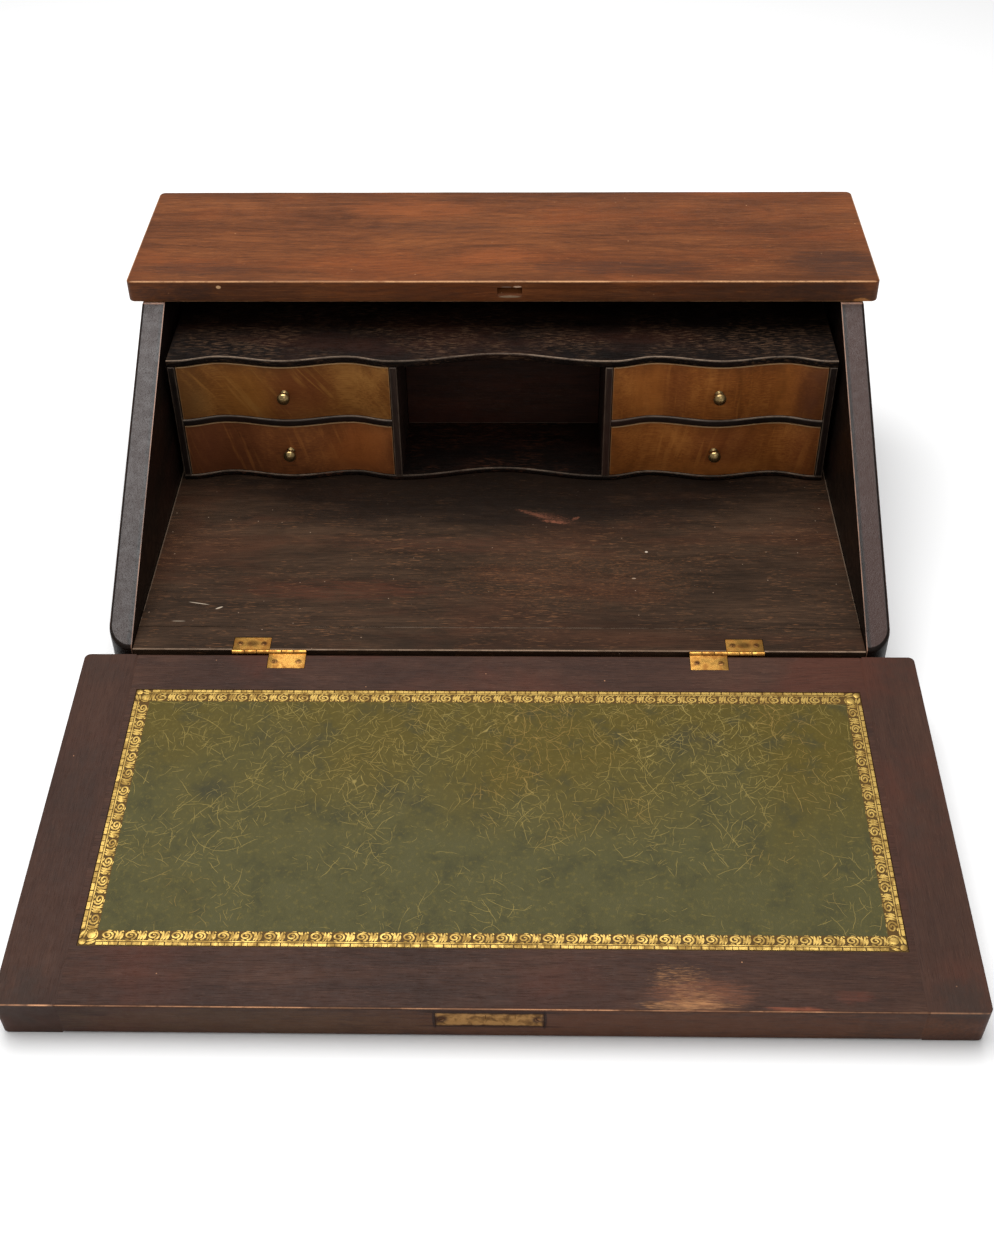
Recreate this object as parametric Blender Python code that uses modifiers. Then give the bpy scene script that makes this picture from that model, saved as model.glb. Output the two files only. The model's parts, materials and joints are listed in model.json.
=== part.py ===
"""Slant-front table desk with its fall let down.

The case stands on the table, its origin at the middle of the case's footprint, +X to the right of
someone sitting at it, +Y to the back and +Z up. The fall hangs on two brass butts along the front of
the writing floor. Open, its free edge rests on the table; shut, it lies on the slanted sides.
"""

import math

import bmesh
import bpy
from mathutils import Matrix

# Clearances
JOINT_GAP = 0.0003  # between pieces that are glued, screwed or rest on each other
FALL_SEAT_GAP = 0.0004  # between the shut fall and the slanted sides
FALL_END_CLEARANCE = 0.0010  # between the shut fall's free edge and the top
FALL_TABLE_GAP = 0.0005  # between the open fall's free edge and the table
CABINET_CLEARANCE = 0.0079  # level gap between the shut fall and the cabinet's upper front edge
DRAWER_SIDE_GAP = 0.0007
DRAWER_TOP_GAP = 0.0008
DRAWER_STOP_GAP = 0.0008
STRIKE_CLEARANCE = 0.0011

# Case
CASE_WIDTH = 0.610
CASE_DEPTH = 0.436
SIDE_THICKNESS = 0.0195
SIDE_CORNER_RADIUS = 0.0180  # plan rounding of each side's outer front corner
FLOOR_HEIGHT = 0.060  # writing floor above the table
FLOOR_THICKNESS = 0.016
LIPPING_WIDTH = 0.027
WELL_HEIGHT = 0.151  # writing floor to the underside of the top
BACK_THICKNESS = 0.008
BASE_RAIL_THICKNESS = 0.018
BOTTOM_THICKNESS = 0.009

# Top board
TOP_DEPTH = 0.1674
TOP_THICKNESS = 0.020
TOP_SIDE_OVERHANG = 0.011
TOP_BACK_OVERHANG = 0.003
TOP_CORNER_RADIUS = 0.004

# Cabinet of drawers and pigeonhole
CABINET_END_GAP = 0.0045  # between each end of the cabinet and the side of the case
CABINET_HEIGHT = 0.1214
CABINET_STOCK = 0.0062
CABINET_BASE_THICKNESS = 0.0045
PIGEONHOLE_WIDTH = 0.1754
PIGEONHOLE_DEPTH = 0.0826
LOWER_DRAWER_OPENING = 0.0515
DRAWER_BAY_RECESS = 0.0072
PIGEONHOLE_RECESS = 0.0120
DRAWER_BAY_KNOTS = ((0.0, 0.0), (0.2, 1.0), (0.5, 0.0), (0.8, 1.0), (1.0, 0.0))
PIGEONHOLE_KNOTS = ((0.0, 0.0), (0.5, 1.0), (1.0, 0.0))
FRONT_STEP = 0.006  # spacing of the points along the serpentine front

# Drawers
DRAWER_SETBACK = 0.0012
DRAWER_FRONT_THICKNESS = 0.0070  # where the serpentine is hollowest
DRAWER_SIDE_THICKNESS = 0.0050
DRAWER_BACK_THICKNESS = 0.0050
DRAWER_BOTTOM_THICKNESS = 0.0035
DRAWER_SIDE_DROP = 0.0015  # the sides' top edge below the front's

# Drawer knobs
KNOB_RADIUS = 0.0050
KNOB_HEAD_LENGTH = 0.0076
KNOB_NECK_RADIUS = 0.0021
KNOB_FLANGE_RADIUS = 0.0034
KNOB_FLANGE_THICKNESS = 0.0012
KNOB_STAND = 0.0044  # from the drawer front to the widest part of the collar
KNOB_SHANK_RADIUS = 0.0015
KNOB_SHANK_LENGTH = 0.0060
KNOB_HEAD_SWEEP = 150  # degrees of the head's section, from its tip to the collar

# Fall
FALL_OVERHANG = 0.0155  # each end of the fall past the side of the case
FALL_THICKNESS = 0.033
FALL_CORNER_RADIUS = 0.0045
CLEAT_WIDTH = 0.040
TONGUE_LENGTH = 0.010
TONGUE_THICKNESS = 0.010
TONGUE_STOP = 0.020
LEATHER_FROM_CLEAT = 0.0065
LEATHER_FROM_PIN = 0.0396
LEATHER_FROM_EDGE = 0.0454  # leather to the fall's free edge
LEATHER_THICKNESS = 0.0012

# Hinges
PIN_GAP = 0.0029  # pin axis to the case's front, and to the fall's hinge edge
PIN_RADIUS = 0.0012
BARREL_RADIUS = 0.0026
KNUCKLE_LENGTH = 0.0290
LEAF_DEPTH = 0.0140
LEAF_THICKNESS = 0.0016
HINGE_FROM_SIDE = 0.1080  # middle of each hinge from the side of the case

# Lock
PLATE_LENGTH = 0.070
PLATE_WIDTH = 0.015
PLATE_THICKNESS = 0.0025
PLATE_DEPTH = 0.0125  # middle of the plate below the fall's inner face
LOCK_CASE_LENGTH = 0.056
LOCK_CASE_DEPTH = 0.032
LOCK_CASE_THICKNESS = 0.0108
LOCK_CASE_COVER = 0.0052  # wood between the lock case and the fall's inner face
BOLT_X = 0.007
BOLT_WIDTH = 0.0188
BOLT_THICKNESS = 0.0044
BOLT_DEPTH = 0.0090  # middle of the bolt below the fall's inner face
BOLT_LENGTH = 0.026
BOLT_THROW = 0.013
KEYHOLE_SETBACK = 0.020  # keyhole from the fall's free edge
KEYHOLE_RADIUS = 0.0024
KEYHOLE_SLOT_WIDTH = 0.0024
KEYHOLE_SLOT_LENGTH = 0.0075
ESCUTCHEON_WIDTH = 0.016
ESCUTCHEON_HEIGHT = 0.024
ESCUTCHEON_THICKNESS = 0.0012

# Edges and resolution
EDGE_SOFTNESS = 0.0014
FINE_EDGE = 0.0005
CUT_REACH = 0.002  # how far a cutter runs past the face that it opens
EDGE_ANGLE = math.radians(40)  # edges sharper than this are softened
WELD_DISTANCE = 0.00001
ROUND_STEPS = 8
TURN_STEPS = 24

# Places worked out from the sizes above
FRONT_Y = -CASE_DEPTH / 2
BACK_Y = CASE_DEPTH / 2
INNER_HALF = CASE_WIDTH / 2 - SIDE_THICKNESS
INNER_BACK_Y = BACK_Y - BACK_THICKNESS - JOINT_GAP
TOP_UNDERSIDE = FLOOR_HEIGHT + WELL_HEIGHT
TOP_BACK_Y = BACK_Y + TOP_BACK_OVERHANG
TOP_FRONT_Y = TOP_BACK_Y - TOP_DEPTH
PIN_Y = FRONT_Y - PIN_GAP
SLOPE = math.atan2(WELL_HEIGHT, TOP_FRONT_Y - PIN_Y)
FALL_REACH = math.hypot(WELL_HEIGHT, TOP_FRONT_Y - PIN_Y) - FALL_END_CLEARANCE
FALL_DIAGONAL = math.hypot(FALL_REACH, FALL_THICKNESS)
DROOP = math.asin((FLOOR_HEIGHT - FALL_TABLE_GAP) / FALL_DIAGONAL) - math.atan2(FALL_THICKNESS, FALL_REACH)
CABINET_HALF = INNER_HALF - CABINET_END_GAP
CABINET_FRONT_Y = PIN_Y + CABINET_HEIGHT / math.tan(SLOPE) + CABINET_CLEARANCE
CABINET_FOOT = FLOOR_HEIGHT + JOINT_GAP
CABINET_FLOOR = CABINET_FOOT + CABINET_BASE_THICKNESS
CABINET_CEILING = CABINET_FOOT + CABINET_HEIGHT - CABINET_STOCK
PIGEONHOLE_HALF = PIGEONHOLE_WIDTH / 2
BAY_INNER = PIGEONHOLE_HALF + CABINET_STOCK
BAY_OUTER = CABINET_HALF - CABINET_STOCK
SHELF_LOW = CABINET_FLOOR + LOWER_DRAWER_OPENING
SHELF_HIGH = SHELF_LOW + CABINET_STOCK
DRAWER_BACK_Y = INNER_BACK_Y - DRAWER_STOP_GAP
FALL_HALF = CASE_WIDTH / 2 + FALL_OVERHANG
BOARD_HALF = FALL_HALF - CLEAT_WIDTH
LEATHER_HALF = BOARD_HALF - LEATHER_FROM_CLEAT
LEATHER_END = FALL_REACH - LEATHER_FROM_EDGE
HINGE_X = INNER_HALF - HINGE_FROM_SIDE


def clear_scene():
    """Remove every object from the scene."""
    for old in list(bpy.data.objects):
        bpy.data.objects.remove(old)


def new_collection(name):
    """A new collection linked to the scene."""
    collection = bpy.data.collections.new(name)
    bpy.context.scene.collection.children.link(collection)
    return collection


def material(name, colour, roughness, metallic=0.0):
    """A plain Principled material."""
    made = bpy.data.materials.new(name)
    made.use_nodes = True
    shader = made.node_tree.nodes["Principled BSDF"]
    shader.inputs["Base Color"].default_value = (*colour, 1.0)
    shader.inputs["Roughness"].default_value = roughness
    shader.inputs["Metallic"].default_value = metallic
    return made


clear_scene()
DESK = new_collection("slant_front_desk")
CUTTERS = new_collection("cutters")

TOP_WOOD = material("red_brown_top", (0.155, 0.048, 0.021), 0.38)
CASE_WOOD = material("dark_case_wood", (0.032, 0.018, 0.012), 0.42)
FALL_WOOD = material("red_dark_fall_wood", (0.070, 0.030, 0.022), 0.45)
CABINET_WOOD = material("dark_cabinet_wood", (0.040, 0.022, 0.014), 0.45)
DRAWER_WOOD = material("golden_drawer_wood", (0.158, 0.061, 0.014), 0.40)
LINING_WOOD = material("drawer_lining_wood", (0.230, 0.130, 0.060), 0.60)
LEATHER = material("olive_leather", (0.070, 0.080, 0.026), 0.48)
BRASS = material("aged_brass", (0.560, 0.330, 0.100), 0.35, 1.0)


def link(obj, collection, parent):
    """Put an object in one collection only, under a parent."""
    for old in list(obj.users_collection):
        old.objects.unlink(obj)
    collection.objects.link(obj)
    obj.parent = parent


def empty(name, place, turn_x=0.0, parent=None):
    """An empty that carries pieces, turned about X."""
    obj = bpy.data.objects.new(name, None)
    link(obj, DESK, parent)
    obj.location = place
    obj.rotation_euler.x = turn_x
    return obj


def soften(obj, width, segments=1):
    """Round the sharp edges of a piece."""
    bevel = obj.modifiers.new("edges", "BEVEL")
    bevel.width = width
    bevel.segments = segments
    bevel.limit_method = "ANGLE"
    bevel.angle_limit = EDGE_ANGLE


def finish_piece(obj, name, finish, parent, edge):
    """Name, dress and soften a piece of the desk."""
    obj.name = name
    obj.data.name = name
    obj.data.materials.clear()
    obj.data.materials.append(finish)
    link(obj, DESK, parent)
    if edge:
        soften(obj, edge, 2 if edge > FINE_EDGE else 1)
    return obj


def cube(low, high):
    """A box between two corners, its origin at its middle."""
    bpy.ops.mesh.primitive_cube_add(size=1)
    obj = bpy.context.object
    size = [b - a for a, b in zip(low, high)]
    obj.data.transform(Matrix.Diagonal((*size, 1.0)))
    obj.location = [(a + b) / 2 for a, b in zip(low, high)]
    return obj


def board(name, low, high, finish, parent=None, edge=EDGE_SOFTNESS):
    """A straight board between two corners."""
    return finish_piece(cube(low, high), name, finish, parent, edge)


def slab_mesh(outlines, thickness):
    """A mesh of flat outlines filled and extruded by half a thickness to each side."""
    curve = bpy.data.curves.new("outline", "CURVE")
    curve.dimensions = "2D"
    curve.fill_mode = "BOTH"
    curve.extrude = thickness / 2
    for points in outlines:
        spline = curve.splines.new("POLY")
        spline.points.add(len(points) - 1)
        spline.use_cyclic_u = True
        for point, (x, y) in zip(spline.points, points):
            point.co = (x, y, 0.0, 1.0)
    drawn = bpy.data.objects.new("outline", curve)
    bpy.context.scene.collection.objects.link(drawn)
    bpy.context.view_layer.update()
    mesh = bpy.data.meshes.new_from_object(drawn.evaluated_get(bpy.context.evaluated_depsgraph_get()))
    bpy.data.objects.remove(drawn)
    welded = bmesh.new()
    welded.from_mesh(mesh)
    bmesh.ops.remove_doubles(welded, verts=welded.verts, dist=WELD_DISTANCE)
    bmesh.ops.recalc_face_normals(welded, faces=welded.faces)
    welded.to_mesh(mesh)
    welded.free()
    return mesh


def slab(name, outline, low_z, high_z, finish, parent=None, edge=EDGE_SOFTNESS):
    """A level piece with a plan outline, between two heights."""
    mesh = slab_mesh([outline], high_z - low_z)
    obj = bpy.data.objects.new(name, mesh)
    obj.location.z = (low_z + high_z) / 2
    return finish_piece(obj, name, finish, parent, edge)


def hide_cutter(obj, name, parent):
    """Keep a cutter out of sight, under the parent of what it cuts."""
    obj.name = name
    link(obj, CUTTERS, parent)
    obj.hide_render = True
    obj.display_type = "WIRE"
    return obj


def combine(obj, other, operation="DIFFERENCE"):
    """Cut a piece by another shape, or join that shape to it."""
    boolean = obj.modifiers.new(other.name, "BOOLEAN")
    boolean.operation = operation
    boolean.solver = "EXACT"
    boolean.object = other


def cut_box(obj, name, low, high, parent=None):
    """Cut a box-shaped recess into a piece."""
    combine(obj, hide_cutter(cube(low, high), name, parent))


def arc(centre, radius, start, end, steps=ROUND_STEPS):
    """Points along a circular arc between two angles in degrees, ends included."""
    angles = [math.radians(start + (end - start) * i / steps) for i in range(steps + 1)]
    return [(centre[0] + radius * math.cos(a), centre[1] + radius * math.sin(a)) for a in angles]


def full_circle(radius):
    """Points round a circle, its first point not repeated."""
    return arc((0.0, 0.0), radius, 0, 360, TURN_STEPS)[:-1]


def rounded_outline(low, high, radii):
    """A rectangle with a radius for each corner, from the lower left one anticlockwise."""
    corners = ((low[0], low[1]), (high[0], low[1]), (high[0], high[1]), (low[0], high[1]))
    inward = ((1, 1), (-1, 1), (-1, -1), (1, -1))
    points = []
    for i, (x, y) in enumerate(corners):
        radius = radii[i]
        if radius:
            centre = (x + inward[i][0] * radius, y + inward[i][1] * radius)
            points += arc(centre, radius, 180 + 90 * i, 270 + 90 * i)
        else:
            points.append((x, y))
    return points


def eased(share, knots):
    """A wave through knots, each stretch half a cosine."""
    for (u0, v0), (u1, v1) in zip(knots, knots[1:]):
        if share <= u1:
            along = (share - u0) / (u1 - u0)
            return v0 + (v1 - v0) * (1 - math.cos(math.pi * along)) / 2
    return knots[-1][1]


def cabinet_front(x):
    """Y of the cabinet's serpentine front edge at x."""
    away = abs(x)
    if BAY_INNER < away < BAY_OUTER:
        share = (away - BAY_INNER) / (BAY_OUTER - BAY_INNER)
        return CABINET_FRONT_Y + DRAWER_BAY_RECESS * eased(share, DRAWER_BAY_KNOTS)
    if away < PIGEONHOLE_HALF:
        share = (x + PIGEONHOLE_HALF) / PIGEONHOLE_WIDTH
        return CABINET_FRONT_Y + PIGEONHOLE_RECESS * eased(share, PIGEONHOLE_KNOTS)
    return CABINET_FRONT_Y


def serpentine_outline(left, right, back, setback=0.0):
    """A plan with a straight back and ends, and the cabinet's serpentine front."""
    steps = max(2, round((right - left) / FRONT_STEP))
    xs = [left + (right - left) * i / steps for i in range(steps + 1)]
    return [(x, cabinet_front(x) + setback) for x in xs] + [(right, back), (left, back)]


def build_case(closed_fall):
    """The case: sides, floor, back, base and top."""
    for side, name in ((-1, "left"), (1, "right")):
        low_x, high_x = sorted((side * INNER_HALF, side * CASE_WIDTH / 2))
        radii = (SIDE_CORNER_RADIUS, 0, 0, 0) if side < 0 else (0, SIDE_CORNER_RADIUS, 0, 0)
        outline = rounded_outline((low_x, FRONT_Y), (high_x, BACK_Y), radii)
        panel = slab(f"{name}_side_panel", outline, 0.0, TOP_UNDERSIDE - JOINT_GAP, CASE_WOOD)
        slant_low = (low_x - CUT_REACH, -2 * FALL_REACH, -FALL_REACH)
        slant_high = (high_x + CUT_REACH, FALL_REACH, FALL_SEAT_GAP)
        cut_box(panel, f"{name}_slant", slant_low, slant_high, closed_fall)

    fit_half = INNER_HALF - JOINT_GAP
    floor_low = FLOOR_HEIGHT - FLOOR_THICKNESS
    lip_back = FRONT_Y + LIPPING_WIDTH
    rail_back = FRONT_Y + BASE_RAIL_THICKNESS
    rail_top = floor_low - JOINT_GAP
    panel_top = TOP_UNDERSIDE - JOINT_GAP
    floor_start = (-fit_half, lip_back + JOINT_GAP, floor_low)
    bottom_start = (-fit_half, rail_back + JOINT_GAP, 0.0)
    back_start = (-fit_half, BACK_Y - BACK_THICKNESS, 0.0)
    lip_start = (-fit_half, FRONT_Y, floor_low)
    board("floor_board", floor_start, (fit_half, INNER_BACK_Y, FLOOR_HEIGHT), CASE_WOOD, edge=FINE_EDGE)
    lipping = board("floor_front_lipping", lip_start, (fit_half, lip_back, FLOOR_HEIGHT), CASE_WOOD,
                    edge=FINE_EDGE)
    board("base_front_rail", (-fit_half, FRONT_Y, 0.0), (fit_half, rail_back, rail_top), CASE_WOOD)
    board("bottom_board", bottom_start, (fit_half, INNER_BACK_Y, BOTTOM_THICKNESS), LINING_WOOD,
          edge=FINE_EDGE)
    board("back_panel", back_start, (fit_half, BACK_Y, panel_top), CASE_WOOD, edge=FINE_EDGE)

    top_half = CASE_WIDTH / 2 + TOP_SIDE_OVERHANG
    outline = rounded_outline((-top_half, TOP_FRONT_Y), (top_half, TOP_BACK_Y), [TOP_CORNER_RADIUS] * 4)
    top = slab("top_board", outline, TOP_UNDERSIDE, TOP_UNDERSIDE + TOP_THICKNESS, TOP_WOOD)
    reach_x = BOLT_WIDTH / 2 + STRIKE_CLEARANCE
    reach_z = BOLT_THICKNESS / 2 + STRIKE_CLEARANCE
    strike_low = (BOLT_X - reach_x, -FALL_REACH - BOLT_THROW - STRIKE_CLEARANCE, -BOLT_DEPTH - reach_z)
    strike_high = (BOLT_X + reach_x, -FALL_REACH, -BOLT_DEPTH + reach_z)
    cut_box(top, "strike_mortise", strike_low, strike_high, closed_fall)
    return lipping


def build_cabinet():
    """The fixed carcass of the small cabinet, with its serpentine edges."""
    plan = serpentine_outline(-CABINET_HALF, CABINET_HALF, INNER_BACK_Y)
    slab("cabinet_base", plan, CABINET_FOOT, CABINET_FLOOR, CABINET_WOOD, edge=FINE_EDGE)
    top_z = CABINET_CEILING + CABINET_STOCK
    slab("cabinet_top", plan, CABINET_CEILING, top_z, CABINET_WOOD, edge=FINE_EDGE)
    low_z = CABINET_FLOOR + JOINT_GAP
    high_z = CABINET_CEILING - JOINT_GAP
    for side, name in ((-1, "left"), (1, "right")):
        end_name = f"cabinet_{name}_side"
        divider_name = f"{name}_divider"
        uprights = ((end_name, BAY_OUTER, CABINET_HALF), (divider_name, PIGEONHOLE_HALF, BAY_INNER))
        for upright, inner, outer in uprights:
            low_x, high_x = sorted((side * inner, side * outer))
            start = (low_x, CABINET_FRONT_Y, low_z)
            board(upright, start, (high_x, INNER_BACK_Y, high_z), CABINET_WOOD, edge=FINE_EDGE)
        left, right = sorted((side * (BAY_INNER + JOINT_GAP), side * (BAY_OUTER - JOINT_GAP)))
        shelf = serpentine_outline(left, right, INNER_BACK_Y)
        slab(f"{name}_drawer_shelf", shelf, SHELF_LOW, SHELF_HIGH, CABINET_WOOD, edge=FINE_EDGE)
    back_y = CABINET_FRONT_Y + PIGEONHOLE_DEPTH
    half = PIGEONHOLE_HALF - JOINT_GAP
    end = (half, back_y + CABINET_STOCK, high_z)
    board("pigeonhole_back", (-half, back_y, low_z), end, CABINET_WOOD, edge=FINE_EDGE)


def knob_profile():
    """Half section of a drawer knob, head first: a flattened ball on a collar, neck, flange and shank."""
    head_low = KNOB_STAND + KNOB_FLANGE_THICKNESS
    head_middle = head_low + KNOB_HEAD_LENGTH / 2
    ball = []
    for i in range(ROUND_STEPS + 1):
        angle = math.radians(90 - KNOB_HEAD_SWEEP * i / ROUND_STEPS)
        ball.append((KNOB_RADIUS * math.cos(angle), head_middle + KNOB_HEAD_LENGTH / 2 * math.sin(angle)))
    flange_top = JOINT_GAP + KNOB_FLANGE_THICKNESS
    cove = KNOB_FLANGE_THICKNESS / 2
    neck = [
        (KNOB_NECK_RADIUS + cove, KNOB_STAND),
        (KNOB_NECK_RADIUS, KNOB_STAND - cove),
        (KNOB_NECK_RADIUS, flange_top + cove),
    ]
    flange = [(KNOB_FLANGE_RADIUS, flange_top), (KNOB_FLANGE_RADIUS, JOINT_GAP)]
    shank = [(KNOB_SHANK_RADIUS, JOINT_GAP), (KNOB_SHANK_RADIUS, -KNOB_SHANK_LENGTH)]
    return ball + neck + flange + shank + [(0.0, -KNOB_SHANK_LENGTH)]


def build_knob(name, place, parent):
    """A turned knob whose axis points out of the drawer front."""
    points = knob_profile()
    mesh = bpy.data.meshes.new(name)
    mesh.from_pydata([(r, 0.0, z) for r, z in points], [(i, i + 1) for i in range(len(points) - 1)], [])
    knob = bpy.data.objects.new(name, mesh)
    turned = knob.modifiers.new("turned", "SCREW")
    turned.steps = TURN_STEPS
    turned.render_steps = TURN_STEPS
    turned.use_merge_vertices = True
    turned.merge_threshold = WELD_DISTANCE
    knob.location = place
    knob.rotation_euler.x = math.radians(90)
    finish_piece(knob, name, BRASS, parent, 0)


def build_drawer(name, left, right, low_z, high_z):
    """One drawer: a serpentine front cut from the solid, lap sides, back, bottom and knob.

    The drawer hangs under an empty at the middle of its front, on the line that it slides along.
    """
    middle_x = (left + right) / 2
    face_y = CABINET_FRONT_Y + DRAWER_SETBACK
    slide = empty(f"{name}_slide", (middle_x, face_y, (low_z + high_z) / 2))
    inner_y = face_y + DRAWER_BAY_RECESS + DRAWER_FRONT_THICKNESS
    low = low_z + JOINT_GAP
    high = high_z - DRAWER_TOP_GAP
    half_width = (right - left) / 2 - DRAWER_SIDE_GAP

    def local(x, y, z):
        """A point of the desk, measured from the drawer's empty."""
        return (x - slide.location.x, y - slide.location.y, z - slide.location.z)

    ends = (middle_x - half_width, middle_x + half_width)
    outline = serpentine_outline(*ends, inner_y, DRAWER_SETBACK)
    plan = [local(x, y, 0.0)[:2] for x, y in outline]
    foot = low - slide.location.z
    head = high - slide.location.z
    front = slab(f"{name}_front", plan, foot, head, DRAWER_WOOD, slide, FINE_EDGE)
    bore_radius = KNOB_SHANK_RADIUS + JOINT_GAP
    bore_depth = 2 * (DRAWER_BAY_RECESS + DRAWER_FRONT_THICKNESS) + CUT_REACH
    bpy.ops.mesh.primitive_cylinder_add(vertices=TURN_STEPS, radius=bore_radius, depth=bore_depth)
    bore = hide_cutter(bpy.context.object, f"{name}_knob_bore", slide)
    bore.location = (0.0, 0.0, 0.0)
    bore.rotation_euler.x = math.radians(90)
    combine(front, bore)

    behind = inner_y + JOINT_GAP
    side_top = high - DRAWER_SIDE_DROP
    for x, label in ((ends[0], "left"), (ends[1] - DRAWER_SIDE_THICKNESS, "right")):
        start = local(x, behind, low)
        end = local(x + DRAWER_SIDE_THICKNESS, DRAWER_BACK_Y, side_top)
        board(f"{name}_{label}_side", start, end, LINING_WOOD, slide, FINE_EDGE)
    inside = half_width - DRAWER_SIDE_THICKNESS - JOINT_GAP
    bottom_top = low + DRAWER_BOTTOM_THICKNESS
    start = local(middle_x - inside, behind, low)
    end = local(middle_x + inside, DRAWER_BACK_Y, bottom_top)
    board(f"{name}_bottom", start, end, LINING_WOOD, slide, FINE_EDGE)
    start = local(middle_x - inside, DRAWER_BACK_Y - DRAWER_BACK_THICKNESS, bottom_top + JOINT_GAP)
    end = local(middle_x + inside, DRAWER_BACK_Y, side_top)
    board(f"{name}_back", start, end, LINING_WOOD, slide, FINE_EDGE)
    build_knob(f"{name}_knob", (0.0, 0.0, 0.0), slide)


def build_drawers():
    """Four drawers, two each side of the pigeonhole."""
    tiers = (("lower", CABINET_FLOOR, SHELF_LOW), ("upper", SHELF_HIGH, CABINET_CEILING))
    for side, hand in ((-1, "left"), (1, "right")):
        left, right = sorted((side * BAY_INNER, side * BAY_OUTER))
        for tier, low_z, high_z in tiers:
            build_drawer(f"{tier}_{hand}_drawer", left, right, low_z, high_z)


def build_fall(fall):
    """The fall: a solid board with tongued end cleats and a leather writing surface."""
    end_y = -FALL_REACH
    hinge_y = -PIN_GAP
    low = -FALL_THICKNESS
    half = BOARD_HALF - JOINT_GAP
    main = board("fall_board", (-half, end_y, low), (half, hinge_y, 0.0), FALL_WOOD, fall)
    middle = low / 2
    for side, name in ((-1, "left"), (1, "right")):
        radii = [FALL_CORNER_RADIUS if x == side else 0 for x in (-1, 1, 1, -1)]
        low_x, high_x = sorted((side * BOARD_HALF, side * FALL_HALF))
        outline = rounded_outline((low_x, end_y), (high_x, hinge_y), radii)
        cleat = slab(f"fall_{name}_cleat", outline, low, 0.0, FALL_WOOD, fall)
        tongue_x = sorted((side * (BOARD_HALF - TONGUE_LENGTH), side * (BOARD_HALF + TONGUE_LENGTH)))
        groove_end = BOARD_HALF + TONGUE_LENGTH + JOINT_GAP
        groove_x = sorted((side * (BOARD_HALF - CUT_REACH), side * groove_end))
        tongue_low = (tongue_x[0], end_y + TONGUE_STOP, middle - TONGUE_THICKNESS / 2)
        tongue_high = (tongue_x[1], hinge_y - TONGUE_STOP, middle + TONGUE_THICKNESS / 2)
        combine(main, hide_cutter(cube(tongue_low, tongue_high), f"{name}_tongue", fall), "UNION")
        groove_low = (groove_x[0], tongue_low[1] - JOINT_GAP, tongue_low[2] - JOINT_GAP)
        groove_high = (groove_x[1], tongue_high[1] + JOINT_GAP, tongue_high[2] + JOINT_GAP)
        cut_box(cleat, f"{name}_groove", groove_low, groove_high, fall)

    start = (-LEATHER_HALF, -LEATHER_END, -LEATHER_THICKNESS)
    recess_start = [value - JOINT_GAP for value in start]
    recess_end = (LEATHER_HALF + JOINT_GAP, -LEATHER_FROM_PIN + JOINT_GAP, CUT_REACH)
    cut_box(main, "leather_recess", recess_start, recess_end, fall)
    board("writing_leather", start, (LEATHER_HALF, -LEATHER_FROM_PIN, 0.0), LEATHER, fall, 0)
    return main


def keyhole_outline(margin):
    """A round keyhole with a slot below it, widened by a margin."""
    half = KEYHOLE_SLOT_WIDTH / 2 + margin
    radius = KEYHOLE_RADIUS + margin
    open_angle = math.degrees(math.asin(half / radius))
    round_part = arc((0.0, 0.0), radius, -90 + open_angle, 270 - open_angle, TURN_STEPS)
    foot = -KEYHOLE_SLOT_LENGTH - margin
    return round_part + [(-half, foot), (half, foot)]


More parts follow.
